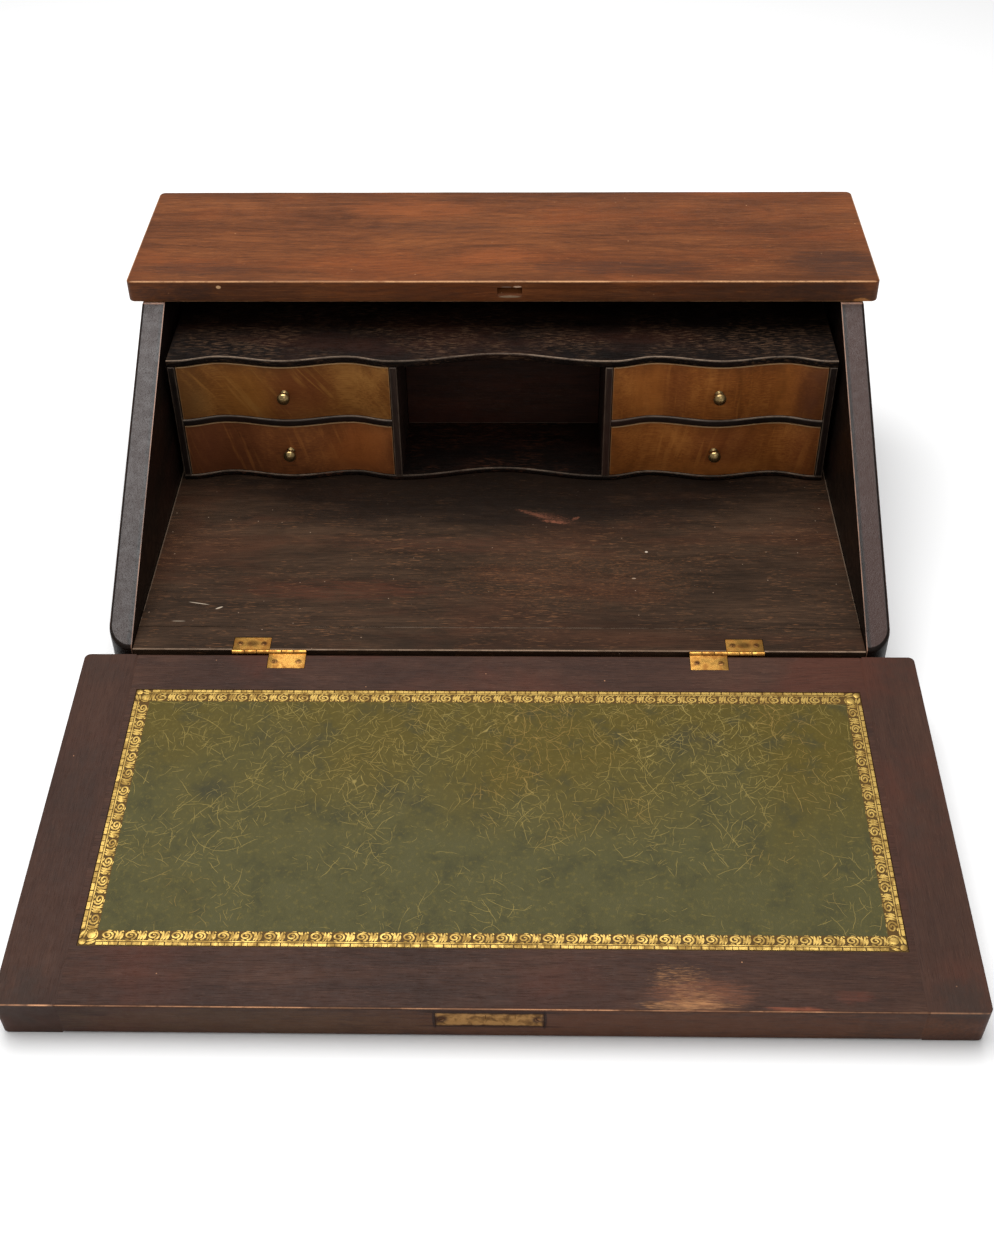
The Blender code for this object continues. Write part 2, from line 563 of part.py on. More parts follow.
def build_lock(fall, fall_board):
    """The fall's lock: a mortised case with its plate in the free edge, a bolt and a keyhole plate."""
    end_y = -FALL_REACH
    plate_back = end_y + PLATE_THICKNESS
    half = PLATE_LENGTH / 2
    plate_low = (-half, end_y, -PLATE_DEPTH - PLATE_WIDTH / 2)
    plate_high = (half, plate_back, -PLATE_DEPTH + PLATE_WIDTH / 2)
    plate = board("lock_face_plate", plate_low, plate_high, BRASS, fall, 0)
    start = (plate_low[0] - JOINT_GAP, end_y - CUT_REACH, plate_low[2] - JOINT_GAP)
    cut_box(fall_board, "plate_recess", start, [value + JOINT_GAP for value in plate_high], fall)

    case_half = LOCK_CASE_LENGTH / 2
    case_top = -LOCK_CASE_COVER
    case_low = (-case_half, plate_back + JOINT_GAP, case_top - LOCK_CASE_THICKNESS)
    case_high = (case_half, plate_back + LOCK_CASE_DEPTH, case_top)
    case = board("lock_case", case_low, case_high, BRASS, fall, 0)
    start = (case_low[0] - JOINT_GAP, end_y - CUT_REACH, case_low[2] - JOINT_GAP)
    cut_box(fall_board, "lock_mortise", start, [value + JOINT_GAP for value in case_high], fall)

    bolt_low = (BOLT_X - BOLT_WIDTH / 2, end_y, -BOLT_DEPTH - BOLT_THICKNESS / 2)
    bolt_high = (BOLT_X + BOLT_WIDTH / 2, end_y + BOLT_LENGTH, -BOLT_DEPTH + BOLT_THICKNESS / 2)
    slide = empty("bolt_slide", (BOLT_X, end_y, -BOLT_DEPTH), parent=fall)
    start = [value - at for value, at in zip(bolt_low, slide.location)]
    end = [value - at for value, at in zip(bolt_high, slide.location)]
    board("lock_bolt", start, end, BRASS, slide, 0)
    way_low = (bolt_low[0] - JOINT_GAP, end_y - CUT_REACH, bolt_low[2] - JOINT_GAP)
    way_high = [value + JOINT_GAP for value in bolt_high]
    for piece in (plate, case):
        cut_box(piece, f"bolt_way_{piece.name}", way_low, way_high, fall)

    outer = -FALL_THICKNESS
    key_y = end_y + KEYHOLE_SETBACK
    circle = full_circle(1.0)
    oval = [(x * ESCUTCHEON_WIDTH / 2, y * ESCUTCHEON_HEIGHT / 2) for x, y in circle]
    plate_mesh = slab_mesh([oval, keyhole_outline(0.0)], ESCUTCHEON_THICKNESS)
    escutcheon = bpy.data.objects.new("keyhole_escutcheon", plate_mesh)
    escutcheon.location = (0.0, key_y, outer + ESCUTCHEON_THICKNESS / 2)
    finish_piece(escutcheon, "keyhole_escutcheon", BRASS, fall, 0)
    seat_scale = 1 + 2 * JOINT_GAP / ESCUTCHEON_WIDTH
    seat_depth = ESCUTCHEON_THICKNESS + CUT_REACH
    seat_mesh = slab_mesh([[(x * seat_scale, y * seat_scale) for x, y in oval]], seat_depth)
    seat = hide_cutter(bpy.data.objects.new("escutcheon_seat", seat_mesh), "escutcheon_seat", fall)
    seat_top = outer + ESCUTCHEON_THICKNESS + JOINT_GAP
    seat.location = (0.0, key_y, seat_top - seat_depth / 2)
    combine(fall_board, seat)
    key_way_top = case_low[2] + CUT_REACH
    key_way_mesh = slab_mesh([keyhole_outline(JOINT_GAP)], key_way_top - outer)
    key_way = hide_cutter(bpy.data.objects.new("key_way", key_way_mesh), "key_way", fall)
    key_way.location = (0.0, key_y, (key_way_top + outer) / 2)
    combine(fall_board, key_way)


def leaf_outline(direction):
    """Section of a hinge leaf with its knuckle round the pin, the leaf running towards +Y or -Y."""
    root_angle = math.degrees(math.asin(LEAF_THICKNESS / BARREL_RADIUS))
    barrel = arc((0.0, 0.0), BARREL_RADIUS, 0, 360 - root_angle, TURN_STEPS)
    end = PIN_GAP + LEAF_DEPTH
    section = barrel + [(end, -LEAF_THICKNESS), (end, 0.0)]
    return [(direction * y, z) for y, z in section]


def build_leaf(name, low_x, direction, place, parent):
    """A hinge leaf and its knuckle, drawn as a section and carried along the pin."""
    eye = full_circle(PIN_RADIUS + JOINT_GAP)
    mesh = slab_mesh([leaf_outline(direction), eye], KNUCKLE_LENGTH - JOINT_GAP)
    mesh.transform(Matrix(((0, 0, 1, 0), (1, 0, 0, 0), (0, 1, 0, 0), (0, 0, 0, 1))))
    leaf = bpy.data.objects.new(name, mesh)
    leaf.location = (low_x + KNUCKLE_LENGTH / 2, *place)
    finish_piece(leaf, name, BRASS, parent, 0)


def build_hinges(fall, lipping, fall_board):
    """Two brass butts: the leaf on the case takes the outer half of each pin, the fall's leaf the inner."""
    sunk = LEAF_THICKNESS + JOINT_GAP
    deep = LEAF_DEPTH + JOINT_GAP
    for side, name in ((-1, "left"), (1, "right")):
        middle = side * HINGE_X
        outer_low = middle if side > 0 else middle - KNUCKLE_LENGTH
        inner_low = middle - KNUCKLE_LENGTH if side > 0 else middle
        build_leaf(f"{name}_hinge_case_leaf", outer_low, 1, (PIN_Y, FLOOR_HEIGHT), None)
        build_leaf(f"{name}_hinge_fall_leaf", inner_low, -1, (0.0, 0.0), fall)
        start = (outer_low - JOINT_GAP, FRONT_Y - CUT_REACH, FLOOR_HEIGHT - sunk)
        end = (outer_low + KNUCKLE_LENGTH + JOINT_GAP, FRONT_Y + deep, FLOOR_HEIGHT + CUT_REACH)
        cut_box(lipping, f"{name}_case_leaf_bed", start, end)
        start = (inner_low - JOINT_GAP, -PIN_GAP - deep, -sunk)
        end = (inner_low + KNUCKLE_LENGTH + JOINT_GAP, -PIN_GAP + CUT_REACH, CUT_REACH)
        cut_box(fall_board, f"{name}_fall_leaf_bed", start, end, fall)
        pin_length = 2 * KNUCKLE_LENGTH
        bpy.ops.mesh.primitive_cylinder_add(vertices=TURN_STEPS, radius=PIN_RADIUS, depth=pin_length)
        pin = bpy.context.object
        pin.location = (middle, PIN_Y, FLOOR_HEIGHT)
        pin.rotation_euler.y = math.radians(90)
        finish_piece(pin, f"{name}_hinge_pin", BRASS, None, 0)


def main():
    """Build the desk, the fall open and the drawers shut."""
    fall = empty("fall_hinge", (0.0, PIN_Y, FLOOR_HEIGHT), DROOP)
    closed_fall = empty("closed_fall_guide", (0.0, PIN_Y, FLOOR_HEIGHT), SLOPE - math.pi)
    lipping = build_case(closed_fall)
    build_cabinet()
    build_drawers()
    fall_board = build_fall(fall)
    build_lock(fall, fall_board)
    build_hinges(fall, lipping, fall_board)


main()
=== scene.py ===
"""Looks of the slant-front table desk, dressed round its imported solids.

Every length is in metres, in the desk's own frame: +X to the right of the person who writes at it,
+Y to the back, +Z up. What sits on the fall is worked out in the fall's own frame, whose origin is on
the hinge pins, with -Y towards the free edge and +Z out of the leather. Colours are 8-bit display colours.
"""

from __future__ import annotations

import json
import logging
import math
from dataclasses import dataclass, replace
from enum import Enum

import bpy
import numpy as np
from mathutils import Matrix, Vector


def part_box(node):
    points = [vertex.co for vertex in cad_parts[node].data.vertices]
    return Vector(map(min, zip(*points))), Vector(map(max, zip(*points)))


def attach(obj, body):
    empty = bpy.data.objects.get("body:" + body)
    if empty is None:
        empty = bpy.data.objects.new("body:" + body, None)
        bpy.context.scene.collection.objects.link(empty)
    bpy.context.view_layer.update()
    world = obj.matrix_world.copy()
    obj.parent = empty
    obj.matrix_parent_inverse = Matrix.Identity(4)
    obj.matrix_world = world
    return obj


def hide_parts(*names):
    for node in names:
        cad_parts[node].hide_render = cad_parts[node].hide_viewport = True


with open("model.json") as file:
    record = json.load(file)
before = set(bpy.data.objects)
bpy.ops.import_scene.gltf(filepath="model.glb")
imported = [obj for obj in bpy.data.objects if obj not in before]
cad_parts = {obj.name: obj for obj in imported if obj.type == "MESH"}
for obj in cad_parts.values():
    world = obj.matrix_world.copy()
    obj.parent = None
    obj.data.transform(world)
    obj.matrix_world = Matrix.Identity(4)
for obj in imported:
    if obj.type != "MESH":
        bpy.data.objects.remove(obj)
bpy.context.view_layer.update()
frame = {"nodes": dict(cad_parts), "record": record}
LOG = logging.getLogger("slant_front_desk")
SHUT_SLOPE = math.radians(28.8148)
SIDES = ((-1, "left"), (1, "right"))
MM_PER_METRE = 1000.0

Triple = tuple[float, float, float]
Colour = tuple[int, int, int]
Tones = tuple[Colour, Colour, Colour]
Stain = tuple[Triple, Triple, float]
Solid = tuple[np.ndarray, np.ndarray]
Socket = bpy.types.NodeSocket


def display(colour: Colour) -> Triple:
    """Linear values of an 8-bit display colour."""
    share = np.array(colour) / 255.0
    return tuple(np.where(share <= 0.04045, share / 12.92, ((share + 0.055) / 1.055) ** 2.4).tolist())


class Grain(Enum):
    """Which way the fibres of a board run in its own frame."""

    ALONG_X = (0.0, 1.0, 1.0)
    ALONG_Y = (1.0, 0.0, 1.0)
    ALONG_Z = (1.0, 1.0, 0.0)

    def factors(self, slimness: float) -> Triple:
        """Stretch of each axis that makes a pattern so many times longer than wide along the fibres."""
        return tuple(1.0 + across * (slimness - 1.0) for across in self.value)


class Value:
    """A number, vector or colour worked out in a material, which adds and multiplies like a number."""

    def __init__(self, graph: Graph, socket: Socket) -> None:
        """Keep a socket together with its graph."""
        self.graph = graph
        self.socket = socket

    def maths(self, operation: str, other: object = 0.0) -> Value:
        """One sum with a number or another value, by Blender's name for it."""
        return self.graph.value("Math", 0, {0: self, 1: other}, operation=operation)

    def __add__(self, other: object) -> Value:
        """The two added."""
        return self.maths("ADD", other)

    def __sub__(self, other: object) -> Value:
        """The second taken from the first."""
        return self.maths("SUBTRACT", other)

    def __mul__(self, other: object) -> Value:
        """The two multiplied."""
        return self.maths("MULTIPLY", other)

    def vector(self, operation: str, other: object = (0.0, 0.0, 0.0), output: int | str = 0) -> Value:
        """One sum with a vector, by Blender's name for it."""
        return self.graph.value("VectorMath", output, {0: self, 1: other}, operation=operation)

    def parts(self) -> list[Value]:
        """The three parts of a vector or colour."""
        return [Value(self.graph, part) for part in self.graph.node("SeparateXYZ", {0: self}).outputs]

    def mapped(self, place: Triple, turn: Triple, scale: Triple = (1.0, 1.0, 1.0)) -> Value:
        """Coordinates measured in a frame with this origin, turn and scale."""
        inputs = {"Vector": self, "Location": place, "Rotation": turn, "Scale": scale}
        return self.graph.value("Mapping", 0, inputs, vector_type="TEXTURE")

    def turned(self, angle: float) -> Value:
        """A vector turned about Y."""
        return self.graph.value("Mapping", 0, {"Vector": self, "Rotation": (0.0, angle, 0.0)})

    def along(self, grain: Grain, slimness: float) -> Value:
        """Coordinates that draw a pattern out along the fibres."""
        return self.vector("MULTIPLY", grain.factors(slimness))

    def noise(self, scale: float, detail: float, roughness: float, twist: float = 0.0) -> Value:
        """Fractal noise from 0 to 1: features per metre, finer layers, their strength, self-distortion."""
        inputs = {"Vector": self, "Scale": scale, "Detail": detail, "Roughness": roughness}
        return self.graph.value("TexNoise", "Fac", inputs | {"Distortion": twist})

    def cell_edges(self, scale: float) -> Value:
        """Distance to the borders of random cells, so many to the metre, in cell widths."""
        inputs = {"Vector": self, "Scale": scale}
        return self.graph.value("TexVoronoi", "Distance", inputs, feature="DISTANCE_TO_EDGE")

    def cells(self, scale: float, dimensions: str = "3D") -> list[Value]:
        """Distance, colour and place of the nearest of many random points, so many to the metre."""
        made = self.graph.node("TexVoronoi", {"Vector": self, "Scale": scale}, voronoi_dimensions=dimensions)
        return [Value(self.graph, made.outputs[name]) for name in ("Distance", "Color", "Position")]

    def specks(self, scale: float, radius: float, share: float) -> Value:
        """Round specks of a radius, in cell widths, in a share of a scatter of cells: 1 inside, 0 outside."""
        distance, rank, _ = self.cells(scale)
        return distance.fade(radius, 0.5 * radius) * rank.parts()[0].fade(share + 0.02, share - 0.02)

    def fade(self, start: float, end: float, low: float = 0.0, high: float = 1.0) -> Value:
        """A smooth step, from a low result at the start to a high one at the end."""
        inputs = {"Value": self, "From Min": start, "From Max": end, "To Min": low, "To Max": high}
        return self.graph.value("MapRange", "Result", inputs, interpolation_type="SMOOTHSTEP")

    def patch(self, centre: Triple, half: Triple, turn: float = 0.0) -> Value:
        """A soft patch, 1 in its middle and 0 outside an ellipsoid of these half lengths, turned about Z."""
        share = self.mapped(centre, (0.0, 0.0, turn), half)
        return share.vector("LENGTH", output="Value").fade(1.0, 0.25)

    def ramp(self, spread: float, colours: Tones) -> Value:
        """A colour looked up along three stops round 0.5.

        Args:
            spread: Distance between the stops.
            colours: Colour of each stop.

        Returns:
            The colour.
        """
        made = self.graph.node("ValToRGB", {0: self})
        made.color_ramp.elements.new(0.5)
        for index, element in enumerate(made.color_ramp.elements):
            element.position = 0.5 + (index - 1) * spread
            element.color = (*display(colours[index]), 1.0)
        return Value(self.graph, made.outputs["Color"])

    def bump(self, depth: float, before: Value | None = None) -> Value:
        """A normal bent by this height, where 1 stands for a depth, over that of an earlier bump."""
        inputs = {"Height": self, "Distance": depth, "Strength": 1.0}
        return self.graph.value("Bump", "Normal", inputs | ({"Normal": before} if before else {}))


class Graph:
    """A material's node tree, built one node at a time."""

    def __init__(self, name: str) -> None:
        """Start a material of this name."""
        self.material = bpy.data.materials.new(name)
        self.material.use_nodes = True
        self.shader = self.material.node_tree.nodes["Principled BSDF"]

    def feed(self, socket: Socket, value: object) -> None:
        """Link a socket to a value, or set its constant.

        Args:
            socket: The input to fill.
            value: A value of the graph, a number, a vector or a display colour.
        """
        if isinstance(value, Value):
            self.material.node_tree.links.new(value.socket, socket)
        elif socket.type == "RGBA":
            socket.default_value = (*display(value), 1.0)
        else:
            socket.default_value = value

    def node(self, kind: str, inputs: dict, **settings: object) -> bpy.types.Node:
        """Add a node.

        Args:
            kind: Blender's name of the node, without its beginning.
            inputs: What to feed to each named or numbered input.
            **settings: Properties of the node itself.

        Returns:
            The new node.
        """
        made = self.material.node_tree.nodes.new(f"ShaderNode{kind}")
        for key, value in settings.items():
            setattr(made, key, value)
        for key, value in inputs.items():
            self.feed(made.inputs[key], value)
        return made

    def value(self, kind: str, output: int | str, inputs: dict, **settings: object) -> Value:
        """One output of a new node."""
        return Value(self, self.node(kind, inputs, **settings).outputs[output])

    def own_space(self, place: Triple = (0, 0, 0), turn: Triple = (0, 0, 0)) -> Value:
        """Object coordinates measured in a board's own frame, from its origin and turn."""
        return self.value("TexCoord", "Object", {}).mapped(place, turn)

    def attribute(self, name: str) -> Value:
        """A value that the mesh carries at its points."""
        return self.value("Attribute", "Fac", {}, attribute_name=name)

    def blend(self, first: object, second: object, share: Value) -> Value:
        """Two colours mixed by a share, from 0 for the first to 1 for the second."""
        return self.value("Mix", 2, {0: share, 6: first, 7: second}, data_type="RGBA")

    def dress(self, **inputs: object) -> bpy.types.Material:
        """Fill the shader.

        Args:
            **inputs: What to feed to each input by name, with _ for each space.

        Returns:
            The finished material.
        """
        for name, value in inputs.items():
            self.feed(self.shader.inputs[name.replace("_", " ")], value)
        return self.material


@dataclass(frozen=True)
class Board:
    """The box that a board fills in its own frame, for wear along its arrises.

    A slant is the inward normal and the offset of a slanted face. Arris names a value of the mesh itself
    that marks its pale arris, painted as wear and as a highlight.
    """

    low: Triple
    high: Triple
    place: Triple = (0.0, 0.0, 0.0)
    turn: Triple = (0.0, 0.0, 0.0)
    slant: tuple[Triple, float] | None = None
    arris: str | None = None

    @classmethod
    def of_node(cls, node: str, **more: object) -> Board:
        """The board that a solid of the case is, with its slant or rubbed arris if it has one."""
        low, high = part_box(node)
        return cls(tuple(low), tuple(high), **more)

    def grown(self, low: Triple = (0, 0, 0), high: Triple = (0, 0, 0)) -> Board:
        """The same board with its sides moved out, so that buried joints there count as no arris."""
        corners = np.subtract(self.low, low).tolist(), np.add(self.high, high).tolist()
        return replace(self, low=tuple(corners[0]), high=tuple(corners[1]))

    def inside(self, space: Value) -> Value:
        """Distance inwards from the nearer of each pair of faces, as a vector.

        Args:
            space: Coordinates in the board's frame.

        Returns:
            The vector, in metres.
        """
        centre = tuple((a + b) / 2 for a, b in zip(self.low, self.high))
        half = tuple((b - a) / 2 for a, b in zip(self.low, self.high))
        away = space.vector("SUBTRACT", centre).vector("ABSOLUTE")
        return space.graph.value("VectorMath", 0, {0: half, 1: away}, operation="SUBTRACT")

    def edge_distance(self, space: Value) -> Value:
        """Distance to the nearer edge of a flat sheet, across X and Y alone."""
        across, along, _ = self.inside(space).parts()
        return across.maths("MINIMUM", along)

    def arris_distance(self, space: Value) -> Value:
        """Distance to the nearest arris.

        A point of the surface lies on one face; its distance to the nearest arris is the second
        smallest of its three distances to pairs of faces, that is their median.

        Args:
            space: Coordinates in the board's frame.

        Returns:
            The distance, in metres.
        """
        first, second, third = self.inside(space).parts()
        if self.slant is not None:
            normal, constant = self.slant
            third = second.maths("MINIMUM", third)
            second = space.vector("DOT_PRODUCT", normal, "Value") - constant
        lower = first.maths("MINIMUM", second)
        upper = first.maths("MAXIMUM", second)
        return lower.maths("MAXIMUM", upper.maths("MINIMUM", third))


@dataclass(frozen=True)
class Mark:
    """A worn, stained or dusty place on a board, or painted shade, broken up along the grain."""

    centre: Triple
    half: Triple
    colour: Colour
    strength: float
    breakup: float = 160.0
    level: float = 0.5
    slim: float = 4.0
    soft: float = 0.16
    turn: float = 0.0

    def over(self, space: Value, grain: Grain, colour: Value) -> Value:
        """A board's colour with this mark laid over it.

        A noise drawn out along the grain, raised where the patch is strong, is cut off softly at a level.

        Args:
            space: Coordinates in the board's frame.
            grain: Which way its fibres run.
            colour: The colour below.

        Returns:
            The colour.
        """
        patch = space.patch(self.centre, self.half, self.turn)
        ground = space.along(grain, self.slim).noise(self.breakup, 4.0, 0.7) + patch * 0.35
        start = self.level + 0.20
        share = ground.fade(start, start + self.soft) * patch.fade(0.0, 0.5) * self.strength
        return space.graph.blend(colour, self.colour, share)


@dataclass(frozen=True)
class WoodFinish:
    """Colours and surface of one old polished wood. Its tones are a dark, a middle and a pale one."""

    name: str
    tones: Tones
    warm: Colour
    warm_share: float
    pore: Colour
    pore_share: float
    dash: Colour
    dash_share: float
    worn: Colour
    roughness: float
    gloss: float
    wear_width: float = 0.0010
    wear_share: float = 0.8
    wear_least: float = 0.3
    grime_width: float = 0.028
    grime_share: float = 0.5
    relief: float = 0.00010
    drift: float = 3.0
    figure_share: float = 0.0
    figure_pitch: float = 0.0075
    figure_bend: float = 110.0
    speck_share: float = 0.0
    dash_level: float = 0.60
    contrast: float = 0.11

    def tone(self, space: Value, grain: Grain) -> Value:
        """The base colour: streaks, clouds and fibres summed, with warm patches and growth rings over them.

        The rings are a sine of the distance across the fibres, bent by a slow noise into long loops.

        Args:
            space: Coordinates in the board's frame.
            grain: Which way its fibres run.

        Returns:
            The colour.
        """
        graph = space.graph
        streaks = space.along(grain, 11.0).noise(9.0, 6.0, 0.66, 0.5)
        clouds = space.along(grain, self.drift).noise(8.0, 3.0, 0.5, 0.3)
        fibres = space.along(grain, 30.0).noise(42.0, 5.0, 0.72, 0.2)
        colour = (streaks * 0.30 + clouds * 0.26 + fibres * 0.44).ramp(self.contrast, self.tones)
        warmth = space.along(grain, self.drift).noise(6.0, 5.0, 0.62, 0.4)
        colour = graph.blend(colour, self.warm, warmth.fade(0.46, 0.66, 0.0, self.warm_share))
        if not self.figure_share:
            return colour
        slow = space.along(grain, 2.6).noise(3.4, 2.0, 0.5)
        across = space.vector("DOT_PRODUCT", grain.value, "Value")
        phase = across * (2 * math.pi / self.figure_pitch) + slow * self.figure_bend
        rings = phase.maths("SINE").fade(0.2, 1.0) * fibres.fade(0.40, 0.56, 0.3) * self.figure_share
        return graph.blend(colour, self.pore, rings)

    def material(self, board: Board, grain: Grain, marks: tuple[Mark, ...] = ()) -> bpy.types.Material:
        """The finish on one board.

        Dark pores and short pale dashes are the finest noises, drawn out along the fibres and cut off
        at a level. Grime gathers towards the arrises, which themselves are rubbed pale by turns; where
        the mesh marks its arris, that pale line is wear and a painted highlight.

        Args:
            board: The board's box and frame.
            grain: Which way its fibres run.
            marks: Worn or stained places, and painted shade.

        Returns:
            The material.
        """
        graph = Graph(self.name)
        space = graph.own_space(board.place, board.turn)
        pores = space.along(grain, 22.0).noise(62.0, 3.0, 0.7).fade(0.54, 0.68)
        colour = graph.blend(self.tone(space, grain), self.pore, pores * self.pore_share)
        hatch = space.along(grain, 11.0).noise(110.0, 2.0, 0.6)
        region = space.noise(17.0, 4.0, 0.6)
        dashes = hatch.fade(self.dash_level, self.dash_level + 0.10) * region.fade(0.38, 0.58)
        colour = graph.blend(colour, self.dash, dashes * self.dash_share)
        if self.speck_share:
            colour = graph.blend(colour, self.worn, space.specks(110.0, 0.075, self.speck_share) * 0.5)
        distance = board.arris_distance(space)
        ragged = space.noise(120.0, 4.0, 0.65)
        slow = space.noise(14.0, 3.0, 0.6)
        grime = distance.fade(self.grime_width, 0.0) * slow.fade(0.38, 0.60)
        colour = graph.blend(colour, self.tones[0], grime * self.grime_share)
        for mark in marks:
            colour = mark.over(space, grain, colour)
        near = distance.fade(self.wear_width, 0.25 * self.wear_width)
        # Where the mesh marks its arris, the pale line along it is wear and a painted highlight.
        if board.arris is not None:
            near = graph.attribute(board.arris)
        turns = slow.fade(0.40, 0.60, self.wear_least) * ragged.fade(0.30, 0.55, self.wear_least)
        colour = graph.blend(colour, self.worn, near * turns * self.wear_share)
        sheen = ragged.fade(0.3, 0.7, self.roughness - 0.06, self.roughness + 0.08)
        normal = pores.bump(-0.6 * self.relief, hatch.bump(self.relief))
        normal = ragged.bump(1.6 * self.relief, normal)
        return graph.dress(Base_Color=colour, Roughness=sheen, Normal=normal, Specular_IOR_Level=self.gloss)


TOP_WOOD = WoodFinish(
    "waxed_red_brown_top", ((74, 41, 22), (101, 57, 31), (124, 72, 38)), warm=(128, 66, 31), warm_share=0.45,
    pore=(54, 29, 17), pore_share=0.6, dash=(158, 98, 55), dash_share=0.35, worn=(222, 168, 120),
    roughness=0.42, gloss=0.09, wear_width=0.0017, wear_share=0.95, wear_least=0.5, figure_share=0.22,
    speck_share=0.12, contrast=0.085,
)
CASE_WOOD = WoodFinish(
    "dark_polished_case_wood", ((13, 8, 6), (20, 13, 9), (31, 20, 14)), warm=(44, 22, 16), warm_share=0.4,
    pore=(14, 10, 8), pore_share=0.5, dash=(64, 50, 41), dash_share=0.25, worn=(176, 132, 108),
    roughness=0.40, gloss=0.46, wear_least=0.5, speck_share=0.08,
)
SIDE_WOOD = replace(CASE_WOOD, name="plain_dark_side_wood", gloss=0.12)
BACK_WOOD = replace(
    CASE_WOOD, name="plain_dark_back_wood", tones=((36, 23, 17), (54, 35, 26), (72, 48, 35)),
    warm=(76, 41, 28), worn=(110, 80, 62), roughness=0.55, gloss=0.16, figure_share=0.3, figure_pitch=0.012,
)
FLOOR_WOOD = WoodFinish(
    "scratched_writing_floor_wood", ((36, 26, 18), (54, 39, 28), (70, 51, 37)), warm=(78, 44, 28),
    warm_share=0.35, pore=(30, 21, 15), pore_share=0.6, dash=(136, 92, 60), dash_share=0.45,
    worn=(176, 148, 124), roughness=0.50, gloss=0.08, wear_width=0.0012, wear_share=0.75, wear_least=0.6,
    figure_share=0.25, figure_pitch=0.011, speck_share=0.5, dash_level=0.585, contrast=0.10,
)
FALL_WOOD = WoodFinish(
    "worn_red_dark_fall_wood", ((47, 33, 28), (62, 42, 34), (76, 52, 41)), warm=(84, 45, 33), warm_share=0.5,
    pore=(40, 28, 23), pore_share=0.45, dash=(112, 82, 66), dash_share=0.3, worn=(228, 166, 122),
    roughness=0.48, gloss=0.09, wear_width=0.0011, wear_share=0.9, drift=1.0, figure_share=0.2,
    figure_pitch=0.010, speck_share=0.08,
)
CLEAT_WOOD = replace(
    FALL_WOOD, name="worn_red_dark_cleat_wood", contrast=0.19, dash_share=0.15, figure_share=0.0,
    pore_share=0.3,
)
# Its worn colour is also the pale line painted along the serpentine boards' upper arris: wear and a painted
# highlight.
CABINET_WOOD = WoodFinish(
    "dark_cabinet_wood", ((16, 11, 8), (27, 18, 14), (41, 28, 21)), warm=(50, 26, 17), warm_share=0.5,
    pore=(15, 10, 8), pore_share=0.5, dash=(88, 68, 52), dash_share=0.3, worn=(172, 148, 126),
    roughness=0.42, gloss=0.26, wear_width=0.0012, wear_share=0.6, wear_least=0.45,
)
ROUGH_WOOD = replace(
    CABINET_WOOD, name="rough_sawn_cabinet_top_wood", tones=((11, 7, 5), (19, 12, 9), (31, 20, 15)),
    dash=(98, 72, 52), dash_share=0.65, dash_level=0.53, relief=0.00045, roughness=0.5, gloss=0.09,
)
BASE_WOOD = replace(ROUGH_WOOD, name="streaked_cabinet_base_wood", dash=(92, 54, 36), wear_share=0.45)
UPRIGHT_WOOD = replace(CABINET_WOOD, name="dark_upright_wood", wear_share=0.3)
DIVIDER_WOOD = replace(
    UPRIGHT_WOOD, name="rubbed_divider_wood", tones=((32, 23, 19), (48, 35, 29), (64, 48, 40))
)
HOLE_WOOD = replace(
    UPRIGHT_WOOD, name="red_brown_pigeonhole_wood", tones=((30, 16, 11), (48, 27, 19), (66, 38, 27)),
    warm=(74, 35, 22),
)
LINING_WOOD = WoodFinish(
    "plain_drawer_lining_wood", ((104, 74, 46), (134, 98, 62), (160, 122, 80)), warm=(150, 100, 60),
    warm_share=0.4, pore=(92, 64, 40), pore_share=0.4, dash=(176, 140, 98), dash_share=0.25,
    worn=(180, 144, 102), roughness=0.62, gloss=0.2, wear_share=0.4, figure_share=0.25,
)


@dataclass(frozen=True)
class FallSpace:
    """The open fall's own frame: origin on the pins, -Y to the free edge, +Z out of the leather."""

    pin: Triple
    droop: float
    reach: float = 0.31229
    thickness: float = 0.033
    half_width: float = 0.3205
    board_half: float = 0.2805
    pin_gap: float = 0.0029

    @classmethod
    def from_record(cls, record: dict) -> FallSpace:
        """Read the pin from the hinge joint and the droop from the writing surface's normal.

        Args:
            record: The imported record.

        Returns:
            The fall's frame.
        """
        hinge = next(joint for joint in record["behaviour"]["joints"] if joint["name"] == "fall_hinge")
        normal = next(mount["axis"] for mount in record["mounts"] if mount["name"] == "writing_rest")
        return cls(tuple(hinge["pos_m"]), math.atan2(-normal[1], normal[2]))

    @property
    def rotation(self) -> np.ndarray:
        """Matrix that turns a direction of the fall into the desk's frame."""
        return np.array(Matrix.Rotation(self.droop, 3, "X"))

    def to_desk(self, points: np.ndarray | Triple) -> np.ndarray:
        """Points of the fall, in the last axis of an array, in the desk's frame."""
        return np.asarray(points) @ self.rotation.T + np.array(self.pin)

    def board(self, low: Triple, high: Triple) -> Board:
        """A board of the fall between two corners in the fall's frame."""
        return Board(low, high, self.pin, (self.droop, 0.0, 0.0))


def quads(rows: int, columns: int, round_rows: bool = False, round_columns: bool = False) -> np.ndarray:
    """Quads between the neighbours of a grid of points.

    Args:
        rows: Number of rows.
        columns: Number of columns.
        round_rows: Whether the last row joins the first.
        round_columns: Whether the last column joins the first.

    Returns:
        An array of four point numbers for each quad.
    """
    row = np.arange(rows if round_rows else rows - 1)[:, None]
    column = np.arange(columns if round_columns else columns - 1)[None, :]
    row, next_row = row * columns, (row + 1) % rows * columns
    next_column = (column + 1) % columns
    corners = (row + column, row + next_column, next_row + next_column, next_row + column)
    return np.stack(corners, axis=-1).reshape(-1, 4)


